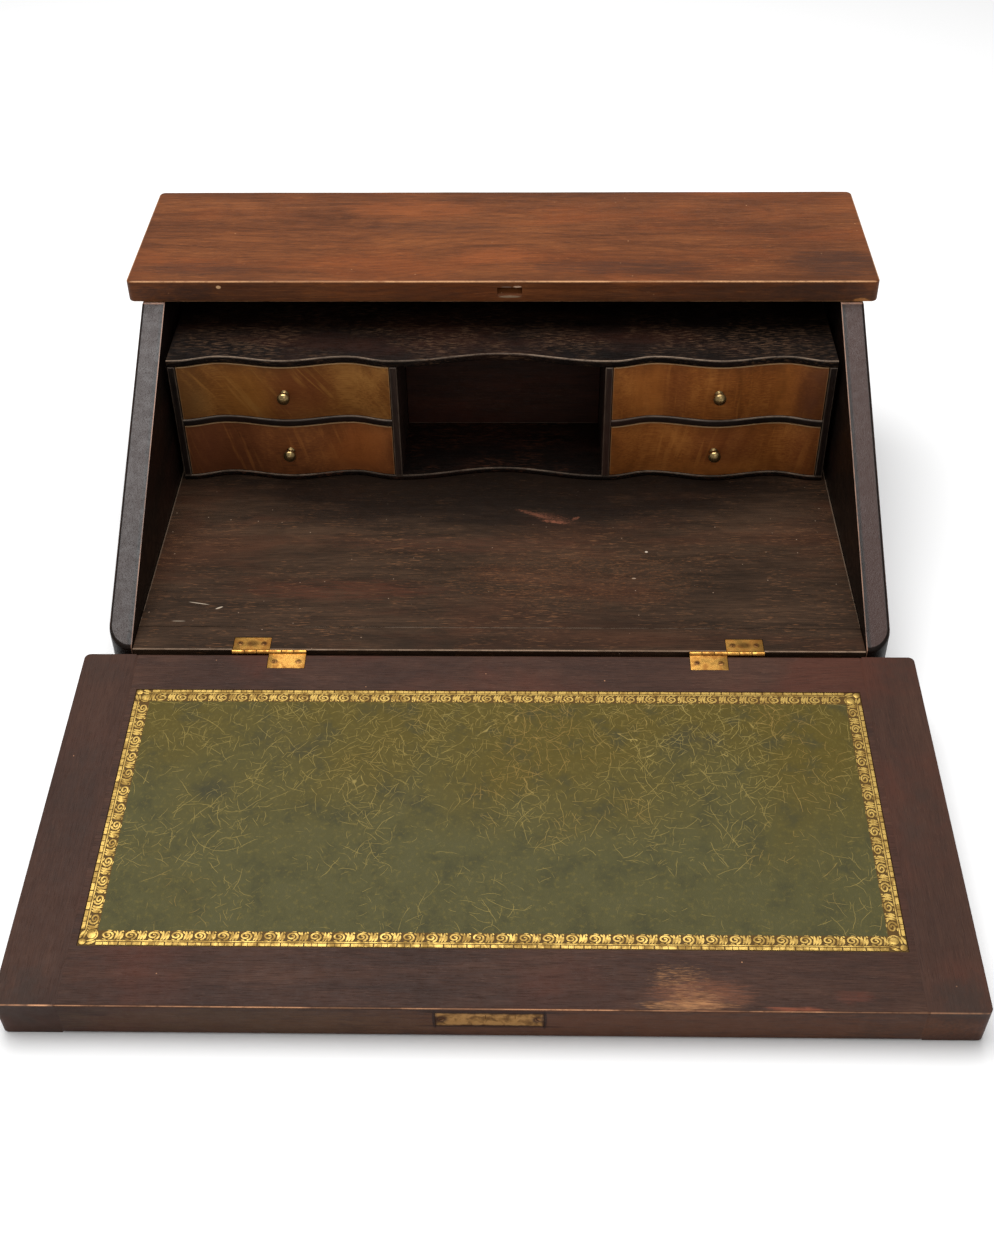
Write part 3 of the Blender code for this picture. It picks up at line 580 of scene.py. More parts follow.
def carried(rows: int, columns: int, order: int = 1) -> list[np.ndarray]:
    """Faces of a closed section carried along a path, with a cap on its first and on its last place.

    Args:
        rows: Number of places along the path.
        columns: Number of points in the section.
        order: 1 where the section runs anticlockwise for one who looks back along the path, or else -1.

    Returns:
        Arrays of point numbers, faces outwards.
    """
    ring = np.arange(columns)[None]
    groups = quads(rows, columns, round_columns=True), ring[:, ::-1], ring + (rows - 1) * columns
    return [group[:, ::order] for group in groups]


def make_piece(name: str, points: np.ndarray, faces: list, crease: float | None = None) -> bpy.types.Object:
    """A mesh object at the origin.

    Args:
        name: Name of the piece.
        points: Array of points in the desk's frame.
        faces: Arrays or lists of point numbers, faces outwards.
        crease: Angle in degrees above which an edge stays sharp, or none.

    Returns:
        The object.
    """
    mesh = bpy.data.meshes.new(name)
    listed = [face for group in faces for face in np.asarray(group).tolist()]
    mesh.from_pydata(points.reshape(-1, 3), [], listed)
    mesh.polygons.foreach_set("use_smooth", np.ones(len(mesh.polygons), dtype=bool))
    if crease is not None:
        mesh.set_sharp_from_angle(angle=math.radians(crease))
    mesh.update()
    piece = bpy.data.objects.new(name, mesh)
    bpy.context.scene.collection.objects.link(piece)
    return piece


def place_piece(
    piece: bpy.types.Object, material: bpy.types.Material, body: str, node: str | None = None
) -> None:
    """Give a new piece its finish, its body and the solid that it stands for.

    Args:
        piece: The piece.
        material: Its finish.
        body: Body that it rides on.
        node: Name of the solid, if it stands for one.
    """
    piece.data.materials.append(material)
    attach(piece, body)
    if node is not None:
        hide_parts(node)
    LOG.info("made %s", piece.name)


def dress_node(node: str, material: bpy.types.Material) -> None:
    """Give a solid its finish.

    Args:
        node: Name of the solid.
        material: The finish.
    """
    slots = frame["nodes"][node].data.materials
    slots.clear()
    slots.append(material)
    LOG.info("dressed %s with %s", node, material.name)


@dataclass
class Stage:
    """Pale floor, soft light and the camera at the photograph's angle."""

    floor_size: float = 16.0
    floor_tone: float = 0.92
    surround: float = 0.40
    overhead: float = 68.0
    front: float = 6.0
    camera_place: Triple = (0.0248, -1.1398, 0.8847)
    pitch: float = math.radians(40.766)
    yaw: float = math.radians(-1.546)
    roll: float = math.radians(-0.789)
    lens: float = 46.12
    sensor: float = 36.0

    def build(self) -> None:
        """Make the floor, the lights and the camera."""
        self.build_floor()
        self.build_light()
        self.build_camera()

    def build_floor(self) -> None:
        """A plain pale floor."""
        half = self.floor_size / 2
        corners = np.array(((-half, -half, 0), (half, -half, 0), (half, half, 0), (-half, half, 0)))
        floor = make_piece("studio_floor", corners, [[(0, 1, 2, 3)]])
        graph = Graph("pale_floor")
        graph.shader.inputs["Base Color"].default_value = (*(self.floor_tone,) * 3, 1.0)
        floor.data.materials.append(graph.dress(Roughness=0.9, Specular_IOR_Level=0.0))

    def build_light(self) -> None:
        """An even pale surround, a broad box overhead and a smaller one in front."""
        bpy.context.scene.view_settings.view_transform = "Standard"
        world = bpy.data.worlds.new("studio")
        bpy.context.scene.world = world
        world.use_nodes = True
        background = world.node_tree.nodes["Background"]
        background.inputs["Color"].default_value = (1.0, 1.0, 1.0, 1.0)
        background.inputs["Strength"].default_value = self.surround
        self.soft_box("overhead", (-0.25, 0.10, 2.3), (-0.05, 0.05, 0.1), 2.0, self.overhead)
        self.soft_box("front", (0.6, -2.6, 1.8), (0.0, -0.1, 0.1), 1.4, self.front)

    def soft_box(self, name: str, place: Triple, target: Triple, size: float, power: float) -> None:
        """One square soft box.

        Args:
            name: Name of the light.
            place: Where it hangs.
            target: What it points at.
            size: Length of its side.
            power: Watts.
        """
        lamp = bpy.data.lights.new(name, "AREA")
        lamp.size = size
        lamp.energy = power
        holder = bpy.data.objects.new(name, lamp)
        holder.location = place
        holder.rotation_euler = (Vector(target) - Vector(place)).to_track_quat("-Z", "Y").to_euler()
        bpy.context.scene.collection.objects.link(holder)

    def build_camera(self) -> None:
        """A camera turned by yaw, then pitch, then roll."""
        level = math.cos(self.pitch)
        ahead = Vector((math.sin(self.yaw) * level, math.cos(self.yaw) * level, -math.sin(self.pitch)))
        right = Vector((math.cos(self.yaw), -math.sin(self.yaw), 0.0))
        up = right.cross(ahead)
        rolled_right = right * math.cos(self.roll) + up * math.sin(self.roll)
        rolled_up = up * math.cos(self.roll) - right * math.sin(self.roll)
        axes = Matrix((rolled_right, rolled_up, -ahead)).transposed()
        lens = bpy.data.cameras.new("view")
        lens.sensor_width = self.sensor
        lens.lens = self.lens
        camera = bpy.data.objects.new("view", lens)
        camera.matrix_world = Matrix.Translation(self.camera_place) @ axes.to_4x4()
        bpy.context.scene.collection.objects.link(camera)
        bpy.context.scene.camera = camera


@dataclass
class SidePanel:
    """One side of the case, cut to the slope of the shut fall, its outer arris round, its slope polished."""

    name: str
    side: int
    pin: Triple = (0.0, -0.2209, 0.060)
    seat_gap: float = 0.0004
    corner: float = 0.018
    arris: float = 0.0023
    face_sink: float = 0.0006
    face_rise: float = 0.00012
    lip: float = 0.0001
    corner_steps: int = 12
    arris_steps: int = 6
    long_steps: int = 8
    crease: float = 24.0
    clear: float = 0.02

    @property
    def seat(self) -> float:
        """How far the slope lies under the shut fall, measured upright."""
        return self.seat_gap / math.cos(SHUT_SLOPE)

    def roof(self, y: np.ndarray, top: float) -> np.ndarray:
        """Height of the panel: the slope of the fall's seat, up to the underside of the top."""
        return np.minimum(self.pin[2] + (math.tan(SHUT_SLOPE) * (y - self.pin[1]) - self.seat), top)

    def outline(self, low: np.ndarray, high: np.ndarray) -> np.ndarray:
        """Plan of the outer face, from the inner front corner round the rounded corner to the back.

        Args:
            low: Low corner of the panel, with x counted outwards from the desk's middle.
            high: High corner.

        Returns:
            Array of (x, y, normal x, normal y).
        """
        radius = self.corner
        angle = np.radians(np.linspace(-90.0, 0.0, self.corner_steps))
        around = np.stack((np.cos(angle), np.sin(angle)), axis=1)
        arc = np.array((high[0] - radius, low[1] + radius)) + radius * around
        crest = self.pin[1] + (high[2] - self.pin[2] + self.seat) / math.tan(SHUT_SLOPE)
        along = np.append(np.linspace(low[1] + radius, crest, self.long_steps)[1:], high[1])
        straight = np.stack((np.full_like(along, high[0]), along), axis=1)
        start = np.array(((low[0] + self.lip, low[1], 0.0, -1.0),))
        out = np.broadcast_to((1.0, 0.0), straight.shape)
        return np.vstack((start, np.hstack((arc, around)), np.hstack((straight, out))))

    def build(self) -> None:
        """Carry the panel's section along the plan of its outer face.

        Each section runs from the inner foot to the outer foot, up the wall, round a quarter circle whose
        inset follows the plan's normal, and across the slope to the inner edge. The first is left square.
        """
        node = f"{self.name}_side_panel"
        ends = np.array([tuple(corner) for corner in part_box(node)])
        ends[:, 0] = np.sort(np.abs(ends[:, 0]))
        low, high = ends
        outline = self.outline(low, high)
        angle = np.linspace(0.0, math.pi / 2, self.arris_steps)
        rounded = np.minimum(np.arange(len(outline)), 1)[:, None]
        inset = self.arris * (1.0 - np.cos(angle)) * rounded
        x = outline[:, :1] - outline[:, 2:3] * inset
        y = outline[:, 1:2] - outline[:, 3:4] * inset
        z = self.roof(y, high[2]) - self.arris * (1.0 - np.sin(angle))
        inner = np.full(len(outline), low[0])
        columns = (
            self.side * np.column_stack((inner, outline[:, 0], x, inner)),
            np.column_stack((y[:, -1], outline[:, 1], y, y[:, -1])),
            np.column_stack((0 * inner, 0 * inner, z, z[:, -1])),
        )
        edge = (self.side * high[0], 0.0, 0.1), (0.0014, 3.0, 3.0)
        # Warm and dark streaks over the outer face; on the rounded outer arris the dark mark is a painted
        # shade line.
        figure = (
            Mark(*edge, (74, 42, 29), 0.8, 26.0, 0.34, 9.0, 0.25),
            Mark(*edge, (16, 10, 8), 0.8, 75.0, 0.46, 14.0, 0.2),
        )
        self.add(f"{node}_board", columns, SIDE_WOOD, figure, node)
        self.build_slope(x[1:-1, -1], y[1:-1, -1], low[0], high[2])

    def build_slope(self, outer: np.ndarray, y: np.ndarray, inner: float, top: float) -> None:
        """Lay the polished face on the slanted edge, as a thin plate carried up the slope.

        Args:
            outer: Outer edge of each section, counted outwards from the desk's middle.
            y: Place of each section.
            inner: Inner edge of every section.
            top: Height of the panel's top.
        """
        foot = self.roof(y, top) - self.face_sink
        head = self.roof(y, top) + self.face_rise
        within = np.full_like(outer, inner)
        x = self.side * np.column_stack((within, outer, outer, within))
        columns = x, np.broadcast_to(y[:, None], x.shape), np.column_stack((foot, foot, head, head))
        middle = (0.2957 * self.side, 0.0, 0.1), (0.0094, 2.0, 2.0)
        # A warm tint over each slope, partly painted shade: it is stronger, and the gloss lower, on the
        # right, where less sheen falls.
        worn = Mark(*middle, (62, 34, 24), 0.5 + 0.2 * self.side, 40.0, 0.2)
        wood = replace(CASE_WOOD, gloss=0.41 - 0.05 * self.side)
        self.add(f"{self.name}_side_slope_face", columns, wood, (worn,))

    def add(
        self, name: str, columns: tuple, wood: WoodFinish, marks: tuple[Mark, ...], node: str | None = None
    ) -> None:
        """Put a piece of this side on the case, in a wood whose arrises follow the slope.

        Args:
            name: Name of the piece.
            columns: Grids of x, y and z, a row for each section.
            wood: Its wood.
            marks: Worn places, streaks, and painted shade on the outer arris.
            node: The solid that it stands for, if any.
        """
        points = np.stack(columns, axis=-1)
        piece = make_piece(name, points, carried(*points.shape[:2], -self.side), self.crease)
        normal = (0.0, math.sin(SHUT_SLOPE), -math.cos(SHUT_SLOPE))
        constant = sum(a * b for a, b in zip(normal, self.pin))
        board = Board.of_node(f"{self.name}_side_panel", slant=(normal, constant))
        left, right = (self.clear * (self.side == side) for side, _ in SIDES)
        board = board.grown((left, 0.0, 0.0), (right, 0.0, 0.0))
        place_piece(piece, wood.material(board, Grain.ALONG_Y, marks), "case", node)


@dataclass
class Case:
    """The fixed case: sides, floor, back, base and top."""

    clear: float = 0.02

    def build(self) -> None:
        """Dress every board of the case, and make its sides and top."""
        for side, name in SIDES:
            SidePanel(name, side).build()
        plain = {"base_front_rail": BACK_WOOD, "back_panel": BACK_WOOD, "bottom_board": LINING_WOOD}
        for node, wood in plain.items():
            dress_node(node, wood.material(Board.of_node(node), Grain.ALONG_X))
        self.dress_floor()
        TopBoard().build()

    def dress_floor(self) -> None:
        """Give the writing floor and lipping painted shade at the back, dust lines, scuff, scratches and
        specks.
        """
        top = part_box("floor_board")[1].z
        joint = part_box("floor_front_lipping")[1].y
        scuff, dust, scratch = (122, 74, 54), (120, 102, 86), (176, 160, 140)
        pale, ruddy = (132, 84, 62), (136, 82, 60)
        joint_line = Mark((0.0, joint, top), (0.34, 0.0008, 0.01), dust, 0.75, 70.0, 0.34)
        marks = (
            # Painted shade: the back of the floor, under the top, is darkened where the top's shadow falls.
            Mark((0.0, 0.08, top), (0.42, 0.20, 0.02), (20, 13, 9), 0.85, 12.0, 0.12, soft=0.4),
            Mark((-0.13, -0.146, top), (0.16, 0.024, 0.02), (92, 46, 30), 0.4, 70.0, 0.46, 12.0, 0.4),
            Mark((0.06, -0.130, top), (0.26, 0.085, 0.02), (128, 80, 46), 0.45, 260.0, 0.66, 4.0, 0.2),
            Mark((-0.03, -0.085, top), (0.20, 0.020, 0.02), (84, 46, 32), 0.35, 70.0, 0.46, 12.0, 0.4),
            Mark((0.044, -0.048, top), (0.040, 0.0130, 0.01), scuff, 0.45, 420.0, 0.56, 2.5, 0.3, -0.35),
            Mark((0.040, -0.046, top), (0.034, 0.0080, 0.01), pale, 0.45, 560.0, 0.58, 2.0, 0.3, -0.4),
            Mark((0.028, -0.042, top), (0.030, 0.0040, 0.01), scuff, 0.55, 300.0, 0.48, 3.0, 0.3, -0.42),
            Mark((0.046, -0.053, top), (0.020, 0.0034, 0.01), ruddy, 0.65, 300.0, 0.46, 3.0, 0.3, -0.15),
            Mark((0.064, -0.048, top), (0.008, 0.0030, 0.01), scuff, 0.7, 300.0, 0.46, 2.0, 0.3, 0.6),
            Mark((-0.2415, -0.1625, top), (0.011, 0.0006, 0.01), scratch, 0.8, 300.0, 0.2, 2.0, turn=-0.2),
            Mark((-0.2245, -0.168, top), (0.004, 0.0010, 0.01), scratch, 0.9, 300.0, 0.2, 2.0, turn=0.5),
            Mark((-0.2545, -0.1845, top), (0.007, 0.0006, 0.01), scratch, 0.5, 300.0, 0.2, 2.0),
            Mark((0.122, -0.094, top), (0.0016, 0.0013, 0.01), (184, 168, 150), 1.0, 300.0, 0.2),
            Mark((0.110, -0.129, top), (0.0022, 0.0009, 0.01), (150, 128, 108), 1.0, 300.0, 0.2),
            Mark((-0.2848, -0.06, top), (0.0011, 0.19, 0.01), dust, 0.55, 120.0, 0.34, 1.0),
            Mark((0.2848, -0.06, top), (0.0011, 0.19, 0.01), dust, 0.55, 120.0, 0.34, 1.0),
            joint_line,
        )
        behind = (self.clear, self.clear, 0.0)
        floor = Board.of_node("floor_board").grown(behind, behind)
        dress_node("floor_board", FLOOR_WOOD.material(floor, Grain.ALONG_X, marks))
        lipping = Board.of_node("floor_front_lipping").grown((self.clear, 0.0, 0.0), behind)
        dress_node("floor_front_lipping", FLOOR_WOOD.material(lipping, Grain.ALONG_X, (joint_line,)))


@dataclass
class TopBoard:
    """The top: a slab with rounded corners and softly worn arrises, and a strike mortise in its edge."""

    corner: float = 0.0055
    arris: float = 0.0021
    arris_steps: int = 6
    corner_steps: int = 7
    long_steps: int = 90
    short_steps: int = 24
    wear_depth: float = 0.00035
    wear_waves: tuple[float, float] = (37.0, 113.0)
    mortise_x: tuple[float, float] = (-0.0035, 0.0175)
    mortise_z: tuple[float, float] = (0.21751, 0.22504)
    mortise_depth: float = 0.0088
    mortise_taper: float = 0.36
    wall: float = 0.00004
    crease: float = 35.0

    def outline(self, low: np.ndarray, high: np.ndarray) -> np.ndarray:
        """Plan outline and its outward normals, anticlockwise from the front left corner.

        Straight runs between quarter circles; the front run has doubled points at the mortise's ends.

        Args:
            low: Low corner of the slab.
            high: High corner.

        Returns:
            Array of (x, y, normal x, normal y).
        """
        radius = self.corner
        left, front, right, back = low[0] + radius, low[1] + radius, high[0] - radius, high[1] - radius
        ends = [value + side * self.wall for value in self.mortise_x for side in (-1, 1)]
        across = np.linspace(left, right, self.long_steps)[1:-1]
        notched = np.sort(np.concatenate((across[(across < ends[0]) | (across > ends[3])], ends)))
        home = np.linspace(right, left, self.long_steps)[1:-1]
        up = np.linspace(front, back, self.short_steps)[1:-1]
        runs = (
            ((right, front), -90.0, (notched, np.full_like(notched, low[1])), (0, -1)),
            ((right, back), 0.0, (np.full_like(up, high[0]), up), (1, 0)),
            ((left, back), 90.0, (home, np.full_like(home, high[1])), (0, 1)),
            ((left, front), 180.0, (np.full_like(up, low[0]), up[::-1]), (-1, 0)),
        )
        parts = []
        for centre, start, run, out in runs:
            straight = np.stack(run, axis=1)
            parts.append(np.hstack((straight, np.broadcast_to(out, straight.shape))))
            angle = np.radians(start + np.linspace(0.0, 90.0, self.corner_steps))
            around = np.stack((np.cos(angle), np.sin(angle)), axis=1)
            parts.append(np.hstack((np.array(centre) + radius * around, around)))
        return np.vstack(parts)

    def build(self) -> None:
        """Carry the slab's edge section round its outline.

        The section starts on the underside, rounds the lower arris, climbs the edge and rounds the
        upper arris; each arris is worn in by a slow wave along the outline. Points of the front edge
        between the mortise's limits move inwards along the shut fall's slope.
        """
        low, high = (np.array(corner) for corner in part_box("top_board"))
        outline = self.outline(low, high)
        angle = np.radians(np.linspace(0.0, 90.0, self.arris_steps))
        inset = self.arris * (1.0 - np.sin(angle))
        rise = self.arris * (1.0 - np.cos(angle))
        steps = [value + side * self.wall for value in self.mortise_z for side in (-1, 1)]
        insets = np.concatenate((inset, np.zeros(len(steps)), inset[::-1]))
        heights = np.concatenate((low[2] + rise, steps, high[2] - rise[::-1]))
        place = np.cumsum(np.linalg.norm(np.diff(outline[:, :2], axis=0, prepend=outline[:1, :2]), axis=1))
        slow, quick = self.wear_waves
        wear = 0.5 + 0.3 * np.sin(slow * place) + 0.2 * np.sin(quick * place + 1.0)
        shift = insets[None, :] + self.wear_depth * wear[:, None] * (insets > 0.3 * self.arris)[None, :]
        x = outline[:, :1] - outline[:, 2:3] * shift
        y = outline[:, 1:2] - outline[:, 3:4] * shift
        (start, end), (foot, head) = self.mortise_x, self.mortise_z
        in_x = (outline[:, 0] > start) & (outline[:, 0] < end) & (outline[:, 3] < -0.5)
        inside = in_x[:, None] & ((heights > foot) & (heights < head))[None, :]
        above = np.clip((heights - foot) / (head - foot), 0.0, 1.0)
        depth = np.where(inside, self.mortise_depth * (1.0 - self.mortise_taper * above), 0.0)
        points = np.stack((x, y + depth, heights + depth * math.tan(SHUT_SLOPE)), axis=-1)
        count, rings = x.shape
        lid = (np.arange(count) * rings + rings - 1)[None]
        base = (np.arange(count) * rings)[None, ::-1]
        faces = quads(count, rings, round_rows=True)[:, ::-1]
        board = make_piece("top_board_worn", points, [faces, lid, base], self.crease)
        place_piece(board, self.finish(low, high), "case", "top_board")

    def finish(self, low: np.ndarray, high: np.ndarray) -> bpy.types.Material:
        """The waxed top, with its chips, dings and dark places.

        Args:
            low: Low corner of the slab.
            high: High corner.

        Returns:
            The material.
        """
        front, top = low[1], high[2]
        chip, soot, edge, rubbed = (214, 168, 122), (62, 40, 30), (70, 49, 38), (232, 164, 108)
        marks = (
            Mark((0.10, 0.078, top), (0.12, 0.020, 0.01), soot, 0.6, 40.0, 0.34, 8.0, 0.4),
            Mark((-0.06, 0.150, top), (0.10, 0.020, 0.01), soot, 0.4, 40.0, 0.34, 8.0, 0.4),
            Mark((0.285, 0.085, top), (0.07, 0.04, 0.01), soot, 0.7, 40.0, 0.34, 8.0, 0.4),
            Mark((-0.26, 0.075, top), (0.08, 0.020, 0.01), soot, 0.5, 40.0, 0.34, 8.0, 0.4),
            Mark((-0.01, 0.100, top), (0.06, 0.025, 0.01), (146, 80, 42), 0.35, 40.0, 0.38, 8.0, 0.4),
            Mark((-0.08, 0.185, top), (0.10, 0.030, 0.01), (140, 76, 38), 0.5, 40.0, 0.36, 8.0, 0.4),
            Mark((-0.15, front, 0.218), (0.24, 0.01, 0.020), edge, 0.38, 70.0, 0.36, 5.0, 0.4),
            Mark((0.20, front, 0.216), (0.22, 0.01, 0.020), edge, 0.46, 70.0, 0.34, 5.0, 0.4),
            Mark((-0.27, front, 0.219), (0.06, 0.01, 0.016), (48, 36, 32), 0.55, 110.0, 0.36, 3.0, 0.4),
            Mark((0.27, front, 0.221), (0.07, 0.01, 0.016), (50, 36, 30), 0.55, 110.0, 0.36, 3.0, 0.4),
            Mark((-0.238, front, 0.2255), (0.0026, 0.01, 0.0019), chip, 1.0, 400.0, 0.16),
            Mark((0.302, front, 0.2125), (0.010, 0.01, 0.004), (170, 112, 60), 0.8, 500.0, 0.36),
            Mark((0.075, front, top), (0.040, 0.0017, 0.0013), rubbed, 0.85, 160.0, 0.36, 2.0, 0.3),
            Mark((0.190, front, top), (0.040, 0.0016, 0.0011), rubbed, 0.7, 160.0, 0.42, 2.0, 0.3),
            Mark((0.0135, front, 0.2258), (0.0045, 0.01, 0.0010), (200, 164, 136), 0.95, 300.0, 0.20),
            Mark((0.0045, front, 0.2256), (0.0060, 0.01, 0.0008), (120, 96, 82), 0.8, 300.0, 0.25),
            Mark((0.007, front, 0.2165), (0.012, 0.01, 0.0013), (150, 126, 100), 0.9, 300.0, 0.20),
        )
        return TOP_WOOD.material(Board(tuple(low), tuple(high)), Grain.ALONG_X, marks)


@dataclass(frozen=True)
class BrassFinish:
    """Old brass, rubbed bright in places and brown where it is never touched."""

    name: str
    bright: Colour
    tarnish: Colour
    tarnish_share: float
    roughness: float = 0.34
    stain: Colour = (56, 32, 21)

    def material(self, stains: tuple[Stain, ...] = ()) -> bpy.types.Material:
        """The finish: bright metal under clouds of tarnish, with fine scratches.

        Args:
            stains: Centre, half lengths and strength of each place that is deeply tarnished.

        Returns:
            The material.
        """
        graph = Graph(self.name)
        space = graph.own_space()
        clouds = space.noise(140.0, 5.0, 0.6, 0.6)
        grit = space.noise(900.0, 3.0, 0.6)
        colour = graph.blend(self.bright, self.tarnish, clouds.fade(0.42, 0.64) * self.tarnish_share)
        colour = graph.blend(colour, self.tarnish, grit.fade(0.58, 0.75, 0.0, 0.5))
        for centre, half, strength in stains:
            blot = space.patch(centre, half) * clouds.fade(0.30, 0.52, 0.55)
            colour = graph.blend(colour, self.stain, blot * strength)
        roughness = clouds.fade(0.35, 0.65, self.roughness - 0.08, self.roughness + 0.18)
        return graph.dress(Base_Color=colour, Roughness=roughness, Normal=grit.bump(0.00003), Metallic=1.0)


HINGE_BRASS = BrassFinish("rubbed_hinge_brass", (198, 148, 74), (136, 88, 40), 0.8)
LOCK_BRASS = BrassFinish("dull_lock_brass", (158, 117, 64), (100, 70, 40), 0.8, 0.45)
SCREW_BRASS = BrassFinish("dark_screw_brass", (124, 86, 48), (62, 38, 24), 0.8, 0.42)
KNOB_BRASS = BrassFinish("handled_knob_brass", (168, 142, 96), (86, 68, 40), 0.7, 0.30)
GILT = BrassFinish("gilt_tooling", (172, 143, 78), (114, 84, 41), 0.6, 0.45)


@dataclass(frozen=True)
class VeneerFinish:
    """A drawer front's figured golden wood, with bands of light across its figure.

    Tints are soft patches: place across and up, half width and half height in shares of the front,
    colour and strength.
    """

    name: str
    tones: Tones
    figure_turn: float
    shift: Triple
    tints: tuple[tuple[float, float, float, float, Colour, float], ...]
    # Colour of the pale line along the upper arris and the ends: wear and a painted highlight.
    rubbed: Colour = (206, 166, 118)

    def material(self, board: Board) -> bpy.types.Material:
        """The finish of one drawer front.

        Broad soft bands and slender streaks cross the front at the figure's angle, over fine level fibres.
        The streaks are a fine noise drawn out along the figure, in slow patches.

        Args:
            board: The drawer front's box.

        Returns:
            The material.
        """
        graph = Graph(self.name)
        plain = graph.own_space()
        space = graph.own_space(self.shift)
        turned = space.turned(self.figure_turn)
        dark, _, pale = self.tones
        figure = turned.vector("MULTIPLY", (1.0, 0.2, 0.25)).noise(40.0, 5.0, 0.6, 0.9)
        clouds = space.noise(18.0, 4.0, 0.6, 0.5)
        fibres = space.along(Grain.ALONG_X, 20.0).noise(60.0, 4.0, 0.7)
        colour = (figure * 0.34 + clouds * 0.30 + fibres * 0.36).ramp(0.12, self.tones)
        width, height = board.high[0] - board.low[0], board.high[2] - board.low[2]
        for across, up, half_across, half_up, tint, strength in self.tints:
            centre = (board.low[0] + across * width, board.low[1], board.low[2] + up * height)
            patch = plain.patch(centre, (half_across * width, 0.2, half_up * height))
            colour = graph.blend(colour, tint, patch * clouds.fade(0.3, 0.6, 0.5) * strength)
        hairs = turned.vector("MULTIPLY", (1.0, 0.1, 0.07)).noise(260.0, 3.0, 0.6, 0.3)
        where = turned.vector("MULTIPLY", (1.0, 1.0, 0.35)).noise(30.0, 2.0, 0.5)
        colour = graph.blend(colour, pale, hairs.fade(0.50, 0.66) * where.fade(0.46, 0.62) * 0.55)
        pores = space.along(Grain.ALONG_X, 26.0).noise(110.0, 2.0, 0.6)
        colour = graph.blend(colour, dark, pores.fade(0.55, 0.7, 0.0, 0.45))
        ragged = space.noise(90.0, 4.0, 0.65)
        grime = board.arris_distance(plain).fade(0.014, 0.0) * ragged.fade(0.3, 0.6) * 0.45
        colour = graph.blend(colour, dark, grime)
        # Pale upper arris and ends: wear and a painted highlight along the edges.
        end = board.inside(plain).parts()[0].fade(0.0009, 0.0003, 0.0, 0.35)
        worn = graph.attribute(board.arris).maths("MAXIMUM", end) * ragged.fade(0.30, 0.55, 0.5) * 0.8
        colour = graph.blend(colour, self.rubbed, worn)
        normal = ragged.bump(0.00015, fibres.bump(0.00006))
        sheen = figure.fade(0.3, 0.7, 0.34, 0.46)
        return graph.dress(Base_Color=colour, Roughness=sheen, Normal=normal, Specular_IOR_Level=0.24)


GOLDEN = ((96, 57, 27), (136, 84, 37), (172, 118, 58))
BROWN = ((92, 52, 28), (130, 75, 40), (164, 102, 52))
ORANGE = ((100, 56, 24), (146, 83, 35), (184, 116, 54))
RED, PURPLE, LIGHT = (112, 56, 32), (92, 54, 40), (186, 112, 50)
VENEERS = {
    "upper_left": VeneerFinish("golden_diagonal_veneer", GOLDEN, 0.62, (0.3, 0.0, 0.1), (
        (0.55, 0.45, 0.26, 0.9, RED, 0.65),
        (0.32, 0.4, 0.18, 1.0, (160, 102, 42), 0.6),
        (0.03, 0.4, 0.14, 1.0, (108, 76, 42), 0.6),
    )),
    "lower_left": VeneerFinish("red_brown_veneer", BROWN, 0.25, (0.9, 0.0, 0.4), (
        (0.12, 0.4, 0.40, 1.2, (100, 54, 33), 0.75),
        (0.85, 0.45, 0.26, 1.0, (166, 92, 42), 0.6),
    )),
    "upper_right": VeneerFinish("orange_upright_veneer", ORANGE, -0.05, (0.1, 0.0, 0.8), (
        (1.0, 0.4, 0.20, 1.2, PURPLE, 0.9),
        (0.82, 0.5, 0.08, 1.2, LIGHT, 0.6),
        (0.17, 0.5, 0.13, 1.2, LIGHT, 0.55),
        (0.30, 0.4, 0.10, 1.2, RED, 0.4),
    )),
    "lower_right": VeneerFinish("orange_brown_veneer", ORANGE, -0.2, (0.6, 0.0, 0.3), (
        (0.55, 0.6, 0.26, 0.8, RED, 0.5),
        (1.0, 0.4, 0.22, 1.2, RED, 0.5),
        (0.5, 0.06, 0.4, 0.3, LIGHT, 0.5),
    )),
}


